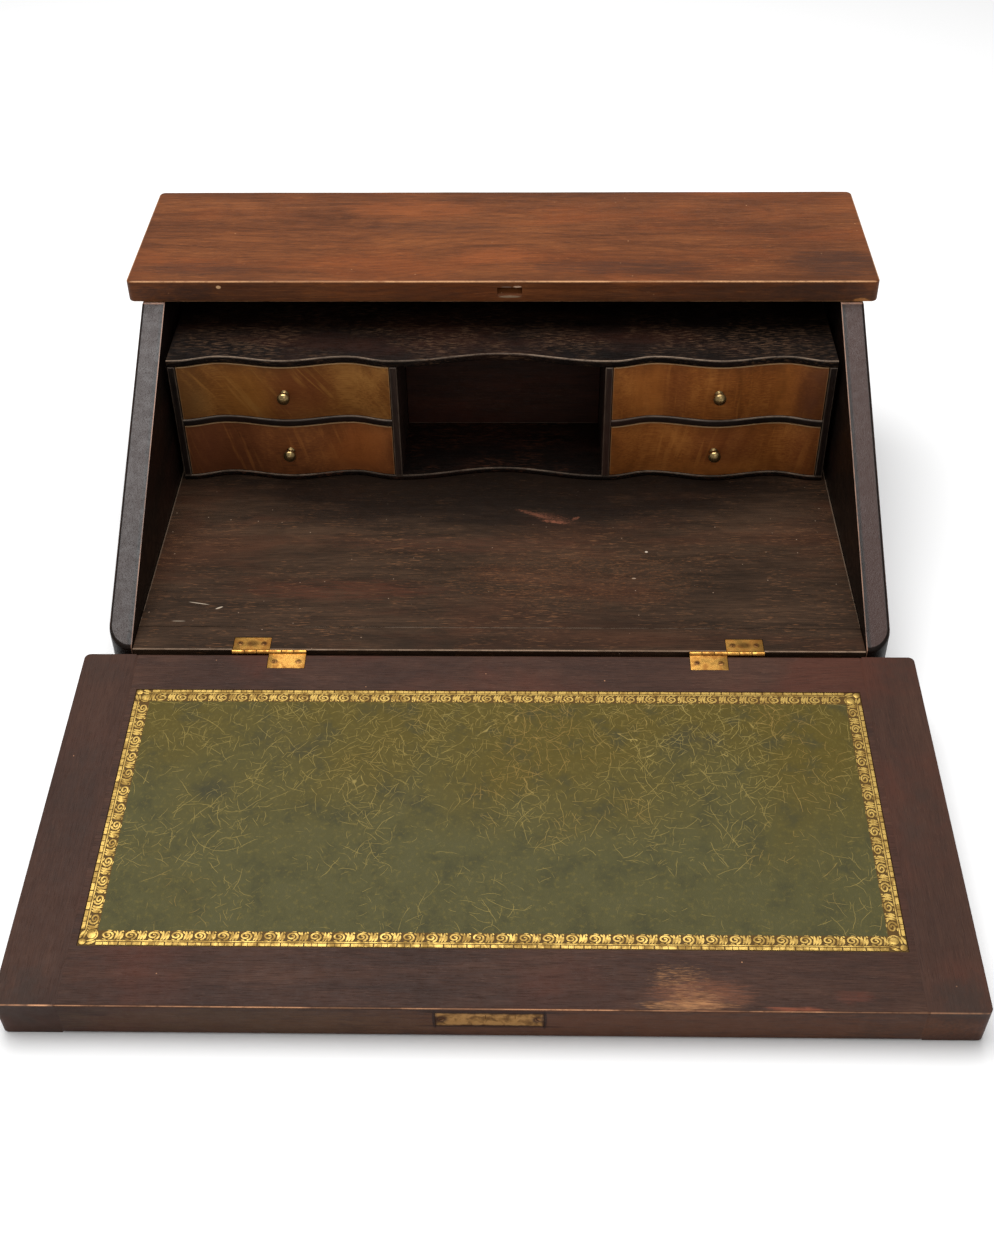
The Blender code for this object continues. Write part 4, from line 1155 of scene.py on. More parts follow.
@dataclass(frozen=True)
class LeatherFinish:
    """Olive leather scratched and crackled to its tan base, with a dark ground under the gilt band.

    Hair layers give cells per metre, half width and strength; blots give place and size.
    """

    olive: Colour = (80, 68, 21)
    green: Colour = (75, 71, 39)
    shade: Colour = (57, 56, 38)
    fleck: Colour = (112, 98, 44)
    blot: Colour = (48, 48, 38)
    tan: Colour = (172, 150, 84)
    rust: Colour = (158, 118, 62)
    ground: Colour = (84, 60, 24)
    band: float = 0.0116
    hair_layers: tuple[Triple, ...] = (
        (38.0, 0.00025, 0.8),
        (57.0, 0.00024, 0.8),
        (84.0, 0.00023, 0.8),
        (125.0, 0.00022, 0.75),
        (190.0, 0.0002, 0.7),
    )
    blots: tuple[Triple, ...] = (
        (-0.150, -0.090, 0.034),
        (-0.200, -0.135, 0.024),
        (-0.062, -0.142, 0.020),
        (0.150, -0.085, 0.030),
    )

    def crackle(self, space: Value, scale: float, width: float, level: float) -> Value:
        """Broken hair cracks: borders of bent cells, kept only where a noise is high.

        Args:
            space: Coordinates on the leather.
            scale: Cells per metre.
            width: Width of a crack in cell widths.
            level: Noise level above which cracks show.

        Returns:
            The strength of the cracks.
        """
        bend = space.graph.value("TexNoise", "Color", {"Vector": space, "Scale": 0.7 * scale, "Detail": 3.0})
        bent = space.vector("ADD", bend.vector("MULTIPLY", (0.9 / scale,) * 3))
        broken = space.noise(1.7 * scale, 3.0, 0.6)
        return bent.cell_edges(scale).fade(width, 0.3 * width) * broken.fade(level, level + 0.08)

    def hairs(self, space: Value, scale: float, width: float, age: Value) -> Value:
        """Thin curved scratches, one in each of many random cells.

        A cell's colour gives its scratch a direction and a bow. The distance to the scratch is the offset
        across that direction less the bow times the square of the offset along it, and less a small crook.

        Args:
            space: Coordinates on the leather.
            scale: Cells per metre.
            width: Half width of a scratch.
            age: How worn each place is; more cells show their scratch where it is high.

        Returns:
            The strength of the scratches.
        """
        _, colour, place = space.cells(scale, "2D")
        x, y, _ = space.vector("SUBTRACT", place).parts()
        turn, bend, rank = colour.parts()
        angle = turn * (2 * math.pi)
        cosine, sine = angle.maths("COSINE"), angle.maths("SINE")
        along = x * cosine + y * sine
        across = y * cosine - x * sine
        bow = (bend - 0.5) * (0.9 * scale) * along * along
        crook = space.noise(2.0 * scale, 2.0, 0.6) * (0.16 / scale)
        away = (across - bow - crook).maths("ABSOLUTE")
        ends = along.maths("ABSOLUTE").fade(0.8 / scale, 0.4 / scale)
        return away.fade(width, 0.4 * width) * ends * (age - rank * 0.3).fade(0.28, 0.33)

    def lines(self, space: Value) -> Value:
        """All cracks and scratches, thickest towards the middle of the hinged edge.

        Args:
            space: Coordinates on the leather.

        Returns:
            The strength of the lines.
        """
        back = space.patch((0.03, -0.06, 0.0), (0.40, 0.16, 0.1))
        age = space.noise(14.0, 4.0, 0.6, 0.4) * 0.66 + back * 0.18
        lines = self.crackle(space, 40.0, 0.016, 0.47) * age.fade(0.42, 0.56) * 0.9
        for scale, width, share in self.hair_layers:
            moved = space.vector("ADD", (3.0 / scale, 7.0 / scale, 0.0))
            lines = lines.maths("MAXIMUM", self.hairs(moved, scale, width, age) * share)
        return lines

    def material(self, board: Board) -> bpy.types.Material:
        """The leather of the writing surface.

        Args:
            board: The leather's box in the fall's frame.

        Returns:
            The material.
        """
        graph = Graph("crackled_olive_leather")
        space = graph.own_space(board.place, board.turn)
        clouds = space.noise(7.0, 4.0, 0.55, 0.6)
        mottle = space.noise(42.0, 6.0, 0.66)
        tone = clouds * 0.6 + space.parts()[1].fade(-0.25, -0.05) * 0.30
        colour = graph.blend(self.green, self.olive, tone.fade(0.30, 0.62))
        colour = graph.blend(colour, self.shade, mottle.fade(0.46, 0.72, 0.0, 0.7))
        flecks = space.noise(240.0, 5.0, 0.75)
        colour = graph.blend(colour, self.fleck, flecks.fade(0.50, 0.70, 0.0, 0.45))
        for x, y, size in self.blots:
            place = space.patch((x, y, 0.0), (size, 0.7 * size, 0.02))
            colour = graph.blend(colour, self.blot, place * mottle.fade(0.36, 0.60) * 0.42)
        lines = self.lines(space)
        bared = graph.blend(self.tan, self.rust, clouds.fade(0.48, 0.62, 0.0, 0.6))
        colour = graph.blend(colour, bared, lines * 0.68)
        border = board.edge_distance(space).fade(self.band + 0.0006, self.band - 0.0002)
        colour = graph.blend(colour, self.ground, border * mottle.fade(0.2, 0.5, 0.7, 0.95))
        normal = space.cell_edges(900.0).fade(0.0, 0.25).bump(0.00005)
        normal = mottle.bump(0.0003, lines.bump(-0.00012, normal))
        sheen = mottle.fade(0.3, 0.7, 0.46, 0.60)
        return graph.dress(Base_Color=colour, Roughness=sheen, Normal=normal, Specular_IOR_Level=0.12)


@dataclass
class Ribbon:
    """A flat gilt line: a small oblong section carried along a curve on the leather."""

    centre: np.ndarray
    width: np.ndarray
    height: float = 0.00012

    def solid(self) -> Solid:
        """The closed ribbon.

        The section's corners lie half a width to each side of the curve, along its level normal.

        Returns:
            Points as (along, across, height), and quads.
        """
        ahead = np.gradient(self.centre, axis=0)
        ahead /= np.linalg.norm(ahead, axis=1, keepdims=True)
        side = np.stack((-ahead[:, 1], ahead[:, 0]), axis=1) * self.width[:, None] / 2
        left, right = self.centre + side, self.centre - side
        high = np.full((len(left), 1), self.height / 2)
        corners = ((left, high), (right, high), (right, -high), (left, -high))
        rings = np.stack([np.hstack(pair) for pair in corners], axis=1)
        return rings.reshape(-1, 3), np.vstack(carried(len(left), len(corners)))


@dataclass
class GiltBand:
    """The gilt border: a row of dashes, a line and a running scroll, with a pair of discs in each corner.

    One unit is drawn in millimetres, along the band and inwards from the leather's edge, and is then
    repeated along the four sides. A leaf is its two ends, its bow to the left and its greatest width.
    """

    band: float = 12.0
    unit: float = 15.4
    dash_middle: float = 1.6
    dash_width: float = 2.2
    line_middle: float = 3.75
    line_width: float = 0.85
    line_gap: float = 0.03
    scroll_place: tuple[float, float] = (-0.9, 8.0)
    scroll_half: tuple[float, float] = (4.3, 3.3)
    leaf_tip: float = 0.35
    leaf_steps: int = 8
    lift: float = 0.00004

    def spiral(self) -> Ribbon:
        """An oval scroll that winds in by one and a half turns while it thins."""
        share = np.linspace(0.0, 1.0, 20)
        angle = math.radians(-75.0) + share * math.radians(545.0)
        shrink = 1.0 - 0.80 * share
        x = self.scroll_place[0] + self.scroll_half[0] * shrink * np.cos(angle)
        y = self.scroll_place[1] + self.scroll_half[1] * shrink * np.sin(angle)
        return Ribbon(np.stack((x, y), axis=1), 1.30 - 0.25 * share)

    def leaf(self, start: tuple[float, float], end: tuple[float, float], bow: float, width: float) -> Ribbon:
        """A leaf that swells between two pointed ends, along a cubic curve of four control points.

        Args:
            start: First end in millimetres.
            end: Second end.
            bow: How far its middle bends to the left.
            width: Its greatest width.

        Returns:
            The ribbon.
        """
        first, last = np.array(start), np.array(end)
        ahead = last - first
        left = np.array((-ahead[1], ahead[0])) / np.linalg.norm(ahead) * bow
        share = np.linspace(0.0, 1.0, self.leaf_steps)
        rest = 1.0 - share
        terms = np.stack((rest**3, 3 * rest**2 * share, 3 * rest * share**2, share**3), axis=1)
        points = terms @ np.stack((first, first + ahead / 3 + left, first + ahead * 2 / 3 + left, last))
        return Ribbon(points, self.leaf_tip + (width - self.leaf_tip) * np.sin(math.pi * share) ** 0.7)

    def straight(self, start: float, end: float, across: float, width: float) -> Ribbon:
        """A straight dash along the band."""
        return Ribbon(np.array(((start, across), (end, across))), np.full(2, width))

    def ribbons(self) -> list[Ribbon]:
        """Every ribbon of one unit, in millimetres."""
        half = self.unit / 2
        leaves = (
            ((4.3, 4.6), (5.4, 11.5), -0.9, 1.7),
            ((5.9, 4.5), (7.9, 11.3), -0.7, 1.8),
            ((7.9, 4.5), (9.3, 9.6), -0.5, 1.7),
            ((3.0, 11.0), (4.6, 9.4), 0.4, 1.3),
            ((8.7, 11.4), (9.7, 10.2), 0.2, 1.2),
            ((-3.8, 5.0), (-1.4, 4.6), 0.1, 0.8),
            ((-1.0, 11.75), (1.9, 11.4), 0.1, 0.6),
        )
        made = [self.spiral()] + [self.leaf(*leaf) for leaf in leaves]
        line_half = half - self.line_gap
        made.append(self.straight(-line_half, line_half, self.line_middle, self.line_width))
        for start, length in ((-half + 0.25, 4.4), (-half + 5.1, 3.5), (1.4, 5.6)):
            made.append(self.straight(start, start + length, self.dash_middle, self.dash_width))
        return made

    def solids(self, ribbons: list[Ribbon]) -> list[Solid]:
        """Points and quads of some ribbons, in metres."""
        return [Ribbon(one.centre / MM_PER_METRE, one.width / MM_PER_METRE).solid() for one in ribbons]

    def joined(self, solids: list[Solid]) -> Solid:
        """Several solids' points and quads as one.

        Args:
            solids: Points and quads of each.

        Returns:
            All points, and all quads with their new point numbers.
        """
        starts = np.cumsum([0] + [len(points) for points, _ in solids])
        faces = [quad + start for (_, quad), start in zip(solids, starts)]
        return np.vstack([points for points, _ in solids]), np.vstack(faces)

    def disc(self, across: float, radius: float, spokes: int = 24) -> Solid:
        """A domed disc on a corner's diagonal: rings from the foot over the rim to the dome's middle.

        Args:
            across: Distance in from both edges, in millimetres.
            radius: Radius in millimetres.
            spokes: Number of points in a ring.

        Returns:
            Points as (along, across, height), and quads.
        """
        angle = np.linspace(0.0, 2 * math.pi, spokes, endpoint=False)
        share = np.array((1.0, 1.0, 0.8, 0.45))[:, None]
        height = np.array((-0.06, 0.06, 0.16, 0.22))
        columns = (
            across + radius * share * np.cos(angle),
            across + radius * share * np.sin(angle),
            np.repeat(height[:, None], spokes, axis=1),
        )
        ring = np.stack(columns, axis=-1).reshape(-1, 3)
        poles = np.array(((across, across, -0.06), (across, across, 0.24)))
        pair = np.arange(0, spokes, 2)
        foot = np.stack(((pair + 2) % spokes, pair + 1, pair, np.full_like(pair, len(ring))), axis=-1)
        top = np.stack((pair, pair + 1, (pair + 2) % spokes, np.full_like(pair, len(ring) + 1)), axis=-1)
        top[:, :3] += len(ring) - spokes
        faces = np.vstack((quads(len(height), spokes, round_columns=True), foot, top))
        return np.vstack((ring, poles)) / MM_PER_METRE, faces

    def corner(self) -> Solid:
        """Lines, leaves and two discs that fill a corner square."""
        turn = np.radians(np.linspace(-60.0, 150.0, 12))
        ring = np.stack((8.2 + 4.0 * np.cos(turn), 8.2 + 4.0 * np.sin(turn)), axis=1)
        leaves = (
            ((1.0, 5.6), (3.6, 11.7), 0.5, 2.0),
            ((5.6, 1.0), (11.7, 3.6), -0.5, 2.0),
            ((3.4, 5.6), (5.4, 11.4), 0.4, 1.4),
            ((5.6, 3.4), (11.4, 5.4), -0.4, 1.4),
        )
        made = [Ribbon(ring, np.full(len(ring), 0.9))] + [self.leaf(*leaf) for leaf in leaves]
        return self.joined(self.solids(made) + [self.disc(2.9, 2.3), self.disc(8.2, 2.9)])

    def sides(self, low: Triple, high: Triple) -> list[tuple[np.ndarray, np.ndarray, np.ndarray, float]]:
        """Start corner, direction, inward direction and length of each side, anticlockwise.

        Args:
            low: Low corner of the leather.
            high: High corner.

        Returns:
            A row for each side.
        """
        width, length = high[0] - low[0], high[1] - low[1]
        x, y = np.array((1.0, 0.0)), np.array((0.0, 1.0))
        return [
            (np.array((low[0], low[1])), x, y, width),
            (np.array((high[0], low[1])), y, -x, length),
            (np.array((high[0], high[1])), -x, -y, width),
            (np.array((low[0], high[1])), -y, x, length),
        ]

    def solid(self, low: Triple, high: Triple) -> Solid:
        """The whole border round a leather.

        Args:
            low: Low corner of the leather in the fall's frame.
            high: High corner.

        Returns:
            Points in the fall's frame and quads.
        """
        template, faces = self.joined(self.solids(self.ribbons()))
        corner_points, corner_faces = self.corner()
        solids = []
        band = self.band / MM_PER_METRE
        for corner, along, inward, length in self.sides(low, high):
            run = length - 2 * band
            number = round(run * MM_PER_METRE / self.unit)
            pitch = run / number
            places = band + pitch * (np.arange(number) + 0.5)
            step = places[:, None] + template[None, :, 0] * pitch * MM_PER_METRE / self.unit
            flat = corner + step[..., None] * along + template[None, :, 1, None] * inward
            height = np.broadcast_to(template[:, 2] + high[2] + self.lift, step.shape)
            points = np.concatenate((flat, height[..., None]), axis=-1).reshape(-1, 3)
            numbers = np.arange(number)[:, None, None] * len(template)
            solids.append((points, (faces[None] + numbers).reshape(-1, 4)))
            flat = corner + corner_points[:, :1] * along + corner_points[:, 1:2] * inward
            solids.append((np.hstack((flat, corner_points[:, 2:] + high[2] + self.lift)), corner_faces))
        return self.joined(solids)


@dataclass
class Screw:
    """A countersunk brass wood screw with a slotted head."""

    radius: float = 0.0021
    slot_width: float = 0.00062
    slot_depth: float = 0.0005
    dome: float = 0.00018
    rings: int = 11
    spokes: int = 40

    def points(self, centre: np.ndarray, out: np.ndarray, slot_turn: float) -> np.ndarray:
        """The head as rings from the rim's foot over the dome to the middle.

        The height is a shallow dome, less the slot wherever a point lies within half a slot's width
        of the slot's line; the first ring stands below the surface and closes the rim.

        Args:
            centre: Middle of the head, on the surface that it is sunk into.
            out: Unit vector out of that surface.
            slot_turn: Turn of the slot.

        Returns:
            Array of points, ring by ring.
        """
        share = np.concatenate(((1.0, 1.0), np.linspace(0.97, 0.03, self.rings)))[:, None]
        angle = np.linspace(0.0, 2 * math.pi, self.spokes, endpoint=False)[None, :]
        x, y = self.radius * share * np.cos(angle), self.radius * share * np.sin(angle)
        height = np.broadcast_to(self.dome * (1.0 - share**2), x.shape).copy()
        height -= np.where(np.abs(y) < self.slot_width / 2, self.slot_depth, 0.0)
        height[0] = -2.2 * self.slot_depth
        first = np.cross(out, (0.0, 0.0, 1.0) if abs(out[2]) < 0.9 else (0.0, 1.0, 0.0))
        first /= np.linalg.norm(first)
        a = math.cos(slot_turn) * first + math.sin(slot_turn) * np.cross(out, first)
        b = np.cross(out, a)
        return centre + x[..., None] * a + y[..., None] * b + height[..., None] * out

    def make(self, name: str, places: list[tuple[np.ndarray, np.ndarray, float]], body: str) -> None:
        """One piece of several such screws on a body.

        Args:
            name: Name of the piece.
            places: Centre, outward direction and slot's turn of each screw.
            body: Body that they ride on.
        """
        points = np.concatenate([self.points(*place) for place in places])
        rows = self.rings + 2
        starts = np.arange(len(places)) * rows * self.spokes
        faces = [group + start for start in starts for group in carried(rows, self.spokes)]
        place_piece(make_piece(name, points, faces, crease=35.0), SCREW_BRASS.material(), body)


@dataclass
class Fall:
    """The fall: board, cleats, leather with its gilt band, and lock."""

    space: FallSpace
    leather_low: Triple = (-0.274, -0.266891, -0.0012)
    leather_high: Triple = (0.274, -0.0396, 0.0)
    leather_step: float = 0.0024
    leather_sink: float = 0.00010
    leather_swell: float = 0.00007
    groove_depth: float = 0.00012
    groove_place: float = 0.0126
    groove_width: float = 0.0006
    edge_drop: float = 0.00035
    edge_width: float = 0.0007
    joint_half: float = 0.0021
    joint_under: float = 0.00006
    joint_corner: float = 0.0016
    plate_screw_x: float = 0.0312
    plate_depth: float = 0.0125
    plate_half: tuple[float, float] = (0.0350, 0.0075)
    screw_stain: Triple = (0.0062, 0.0062, 0.0062)
    rim_stain: Triple = (0.060, 0.006, 0.0019)
    end_stain: Triple = (0.0019, 0.006, 0.016)
    escutcheon_from_edge: float = 0.020
    escutcheon_pin: float = 0.0098
    clear: float = 0.03

    def build(self) -> None:
        """Dress the boards and make the leather, the gilt band and the lock's screws."""
        self.dress_boards()
        self.build_leather()
        self.build_gilt()
        self.build_lock()

    def dress_boards(self) -> None:
        """Give the board and its cleats one worn outline and their own grain, with painted shadow round the
        lock plate.
        """
        space, front = self.space, -self.space.reach
        low = (-space.half_width, front, -space.thickness)
        whole = space.board(low, (space.half_width, -space.pin_gap, 0.0))
        edges = whole.grown((self.clear, 0.0, self.clear), (self.clear, self.clear, 0.0))
        tan, red, plate_shadow, grimy = (190, 136, 88), (104, 56, 42), (32, 15, 9), (52, 42, 37)
        edge_tint = (0.08, front, -0.018), (0.34, 0.004, 0.03), (94, 58, 38)
        # Painted shadow beside each end of the flush lock plate.
        plate_end_shadow = (0.0022, 0.003, 0.014), plate_shadow, 0.8, 90.0, 0.06, 4.0, 0.3
        marks = (
            Mark((0.136, -0.300, 0.0), (0.056, 0.020, 0.02), (118, 74, 52), 0.7, 70.0, 0.40, 12.0, 0.4),
            Mark((0.126, -0.308, 0.0), (0.056, 0.0065, 0.02), tan, 0.65, 90.0, 0.46, 14.0, 0.4),
            Mark((0.132, -0.302, 0.0), (0.034, 0.011, 0.02), tan, 0.45, 130.0, 0.50, 10.0, 0.4),
            Mark((0.122, -0.288, 0.0), (0.040, 0.022, 0.02), tan, 0.5, 130.0, 0.58, 9.0, 0.3),
            Mark((0.195, -0.3100, 0.0), (0.036, 0.0028, 0.02), (150, 82, 56), 0.6, 60.0, 0.40, 12.0, 0.4),
            Mark((0.234, -0.301, 0.0), (0.024, 0.008, 0.02), red, 0.4, 90.0, 0.36, 6.0, 0.5),
            Mark(*edge_tint, 0.6, 50.0, 0.30, 8.0, 0.4),
            Mark((-0.16, front, -0.018), (0.20, 0.004, 0.03), (80, 58, 40), 0.6, 50.0, 0.34, 8.0, 0.4),
            # Painted shadow in dark bands above and below the flush lock plate.
            Mark((0.0, front, -0.0036), (0.062, 0.003, 0.0028), plate_shadow, 0.75, 90.0, 0.06, 4.0, 0.3),
            Mark((0.0, front, -0.0206), (0.062, 0.003, 0.0020), plate_shadow, 0.60, 90.0, 0.06, 4.0, 0.3),
            Mark((-0.0354, front, -self.plate_depth), *plate_end_shadow),
            Mark((0.0354, front, -self.plate_depth), *plate_end_shadow),
        )
        dress_node("fall_board", FALL_WOOD.material(edges, Grain.ALONG_X, marks))
        for side, name in SIDES:
            corners = (
                Mark((side * 0.305, -0.302, 0.0), (0.030, 0.035, 0.04), grimy, 0.6, 55.0, 0.38, 1.5, 0.4),
                Mark((side * 0.300, -0.150, 0.0), (0.030, 0.120, 0.04), grimy, 0.4, 45.0, 0.46, 1.5, 0.4),
                Mark((side * 0.305, -0.020, 0.0), (0.030, 0.030, 0.04), grimy, 0.4, 55.0, 0.42, 1.5, 0.4),
                Mark(*edge_tint, 0.7, 50.0, 0.20, 8.0, 0.4),
            )
            finish = CLEAT_WOOD.material(edges, Grain.ALONG_Y, corners)
            dress_node(f"fall_{name}_cleat", finish)
            self.build_joint(f"fall_{name}_cleat_joint", side * space.board_half, finish)

    def build_joint(self, name: str, x: float, finish: bpy.types.Material) -> None:
        """Old polish that fills the joint of a cleat: the fall's section, carried a little way along X.

        The section is an oblong with quarter-circle corners, just under the boards' faces.

        Args:
            name: Name of the piece.
            x: Where the joint is.
            finish: Its material.
        """
        space, radius = self.space, self.joint_corner
        low = np.array((-space.reach, -space.thickness)) + self.joint_under + radius
        high = np.array((-space.pin_gap, 0.0)) - self.joint_under - radius
        centres = np.array(((high[0], high[1]), (low[0], high[1]), (low[0], low[1]), (high[0], low[1])))
        angle = np.radians(np.linspace(0.0, 90.0, 5)) + np.arange(4)[:, None] * math.pi / 2
        around = np.stack((np.cos(angle), np.sin(angle)), axis=-1)
        section = (centres[:, None] + radius * around).reshape(-1, 2)
        ends = np.array((x - self.joint_half, x + self.joint_half))
        across = np.broadcast_to(ends[:, None, None], (2, len(section), 1))
        points = np.concatenate((across, np.broadcast_to(section, (2, *section.shape))), axis=-1)
        piece = make_piece(name, space.to_desk(points), carried(*points.shape[:2]), crease=35.0)
        place_piece(piece, finish, "fall")

    def build_leather(self) -> None:
        """A thin closed sheet whose face is slightly uneven and drawn down at its edges.

        The face is a product of two slow sines, less a bell-shaped groove at a distance from the edge,
        less a drop that dies away exponentially from the edge.
        """
        low, high = np.array(self.leather_low), np.array(self.leather_high)
        counts = np.round((high - low)[:2] / self.leather_step).astype(int) + 1
        x = np.linspace(low[0], high[0], counts[0])[:, None]
        y = np.linspace(low[1], high[1], counts[1])[None, :]
        edge = np.minimum(np.minimum(x - low[0], high[0] - x), np.minimum(y - low[1], high[1] - y))
        swell = self.leather_swell * np.sin(31.0 * x + 9.0 * y) * np.sin(47.0 * y + 12.0 * x)
        groove = self.groove_depth * np.exp(-(((edge - self.groove_place) / self.groove_width) ** 2))
        drop = self.edge_drop * np.exp(-edge / self.edge_width)
        top = high[2] - self.leather_sink + swell - groove - drop
        grid_x, grid_y = np.broadcast_to(x, top.shape), np.broadcast_to(y, top.shape)
        sheets = [np.stack((grid_x, grid_y, height), axis=-1) for height in (top, np.full(top.shape, low[2]))]
        size = top.size
        index = np.arange(size).reshape(top.shape)
        rim = np.concatenate((index[:-1, 0], index[-1, :-1], index[:0:-1, -1], index[0, :0:-1]))
        after = np.roll(rim, -1)
        skirt = np.stack((rim + size, after + size, after, rim), axis=-1)
        face = quads(*top.shape)[:, ::-1]
        groups = [face, face[:, ::-1] + size, skirt]
        points = self.space.to_desk(np.stack(sheets))
        leather = make_piece("leather_writing_surface", points, groups, crease=50.0)
        finish = LeatherFinish().material(self.space.board(self.leather_low, self.leather_high))
        place_piece(leather, finish, "fall", "writing_leather")

    def build_gilt(self) -> None:
        """The gilt border, pressed on the leather."""
        points, faces = GiltBand().solid(self.leather_low, self.leather_high)
        gilt = make_piece("gilt_border", self.space.to_desk(points), [faces], crease=40.0)
        place_piece(gilt, GILT.material(), "fall")

    def build_lock(self) -> None:
        """Dress the lock and its keyhole plate, and screw them on."""
        for node in ("lock_case", "lock_bolt", "keyhole_escutcheon"):
            dress_node(node, LOCK_BRASS.material())
        space, front = self.space, -self.space.reach
        out = space.rotation @ np.array((0.0, -1.0, 0.0))
        down = space.rotation @ np.array((0.0, 0.0, -1.0))
        screws, pins, stains = [], [], []
        for side, slot in ((-1, 0.5), (1, 2.2)):
            spot = space.to_desk((side * self.plate_screw_x, front, -self.plate_depth))
            screws.append((spot, out, slot))
            stains.append((tuple(spot), self.screw_stain, 1.0))
            pin_y = self.escutcheon_from_edge + front + side * self.escutcheon_pin
            pins.append((space.to_desk((0.0, pin_y, -space.thickness)), down, 0.8))
        for side in (-1, 1):
            rim = (0.0, front, side * self.plate_half[1] - self.plate_depth)
            end = (side * self.plate_half[0], front, -self.plate_depth)
            stains.append((tuple(space.to_desk(rim)), self.rim_stain, 0.9))
            stains.append((tuple(space.to_desk(end)), self.end_stain, 0.9))
        Screw().make("lock_plate_screws", screws, "fall")
        dress_node("lock_face_plate", LOCK_BRASS.material(tuple(stains)))
        small = Screw(radius=0.0009, slot_width=0.0002, slot_depth=0.0002, dome=0.0003)
        small.make("escutcheon_pins", pins, "fall")


@dataclass
class HingeLeaf:
    """A brass hinge leaf with three knuckles round the pin."""

    length: float = 0.0288
    reach: float = 0.0169
    thickness: float = 0.0016
    radius: float = 0.00200
    groove: float = 0.00030
    groove_width: float = 0.00032
    chamfer: float = 0.00018
    arc_steps: int = 22

    @property
    def divisions(self) -> np.ndarray:
        """Where one knuckle ends and the next begins, from the leaf's middle."""
        return self.length * np.array((-1.0, 1.0)) / 6.0

    def points(self, direction: int) -> np.ndarray:
        """The leaf's section carried along the pin, which is the X axis.

        The section goes round the knuckle from the leaf's face to its underside, along the underside to
        the free end and back along the face. The knuckle's radius dips at each division, and the knuckle
        and the face are both lower by a chamfer at the two ends.

        Args:
            direction: 1 for a leaf towards +Y, -1 towards -Y.

        Returns:
            Points round the pin, section by section.
        """
        half = self.length / 2
        near = (self.divisions[:, None] + self.groove_width * np.linspace(-2.0, 2.0, 7)).ravel()
        x = np.sort(np.concatenate(((-half, self.chamfer - half, half - self.chamfer, half), near)))
        dips = np.exp(-(((x[:, None] - self.divisions) / self.groove_width) ** 2)).sum(axis=1)
        ends = np.abs(x) > half - 0.5 * self.chamfer
        radius = (self.radius - self.groove * dips - self.chamfer * ends)[:, None]
        share = np.linspace(0.0, 1.0, self.arc_steps)[None, :]
        angle = share * (2 * math.pi - np.arcsin(self.thickness / radius))
        face = np.where(ends, -self.chamfer, 0.0)[:, None]
        tip = np.array((self.reach, self.reach, self.reach - self.chamfer))
        tip_y = np.broadcast_to(tip, (len(x), len(tip)))
        tip_z = np.hstack((np.full_like(face, -self.thickness), face - self.chamfer, face))
        y = np.hstack((radius * np.cos(angle), tip_y)) * direction
        z = np.hstack((radius * np.sin(angle), tip_z))
        return np.stack((np.broadcast_to(x[:, None], y.shape), y, z), axis=-1)


@dataclass
class Hinges:
    """Two brass butts with two screws in each leaf."""

    space: FallSpace
    knuckle: float = 0.029
    middle: float = 0.1775
    screw_spread: float = 0.0092
    screw_back: float = 0.0099
    first_slot: float = 0.4
    screw_stain: Triple = (0.0036, 0.0036, 0.0036)
    groove_stain: Triple = (0.0007, 0.0026, 0.0026)
    plate_stain: Triple = (0.0080, 0.0050, 0.004)

    def build(self) -> None:
        """Make the leaves of both hinges and their screws, and dress the pins."""
        for side, name in SIDES:
            case_x = side * (self.middle + self.knuckle / 2)
            fall_x = side * (self.middle - self.knuckle / 2)
            self.build_leaf(f"{name}_hinge_case", case_x, 1, "case", side)
            self.build_leaf(f"{name}_hinge_fall", fall_x, -1, "fall", -side)
            dress_node(f"{name}_hinge_pin", HINGE_BRASS.material())

    def build_leaf(self, name: str, x: float, direction: int, body: str, slot_turn: float) -> None:
        """One leaf with its two screws.

        Args:
            name: Start of the piece's names, which is also the start of the solid's.
            x: Middle of the leaf.
            direction: 1 for the leaf on the case, -1 for the one on the fall.
            body: Body that it rides on.
            slot_turn: Added to the turn of the screws' slots.
        """
        leaf = HingeLeaf()
        space = self.space if body == "fall" else replace(self.space, droop=0.0)
        out = space.rotation @ np.array((0.0, 0.0, 1.0))
        back = direction * self.screw_back
        spots = [space.to_desk((x + end * self.screw_spread, back, 0.0)) for end in (-1, 1)]
        screws = [(spot, out, self.first_slot + slot_turn + index) for index, spot in enumerate(spots)]
        Screw().make(f"{name}_screws", screws, body)
        stains = [(tuple(spot), self.screw_stain, 1.0) for spot in spots]
        for division in leaf.divisions:
            stains.append((tuple(space.to_desk((x + division, 0.0, 0.0))), self.groove_stain, 0.9))
        if body == "case":
            stains.append((tuple(space.to_desk((x, back, 0.0))), self.plate_stain, 0.75))
        points = leaf.points(direction)
        faces = carried(*points.shape[:2], direction)
        placed = space.to_desk(points + np.array((x, 0.0, 0.0)))
        piece = make_piece(f"{name}_leaf_plate", placed, faces, crease=30.0)
        place_piece(piece, HINGE_BRASS.material(tuple(stains)), body, f"{name}_leaf")


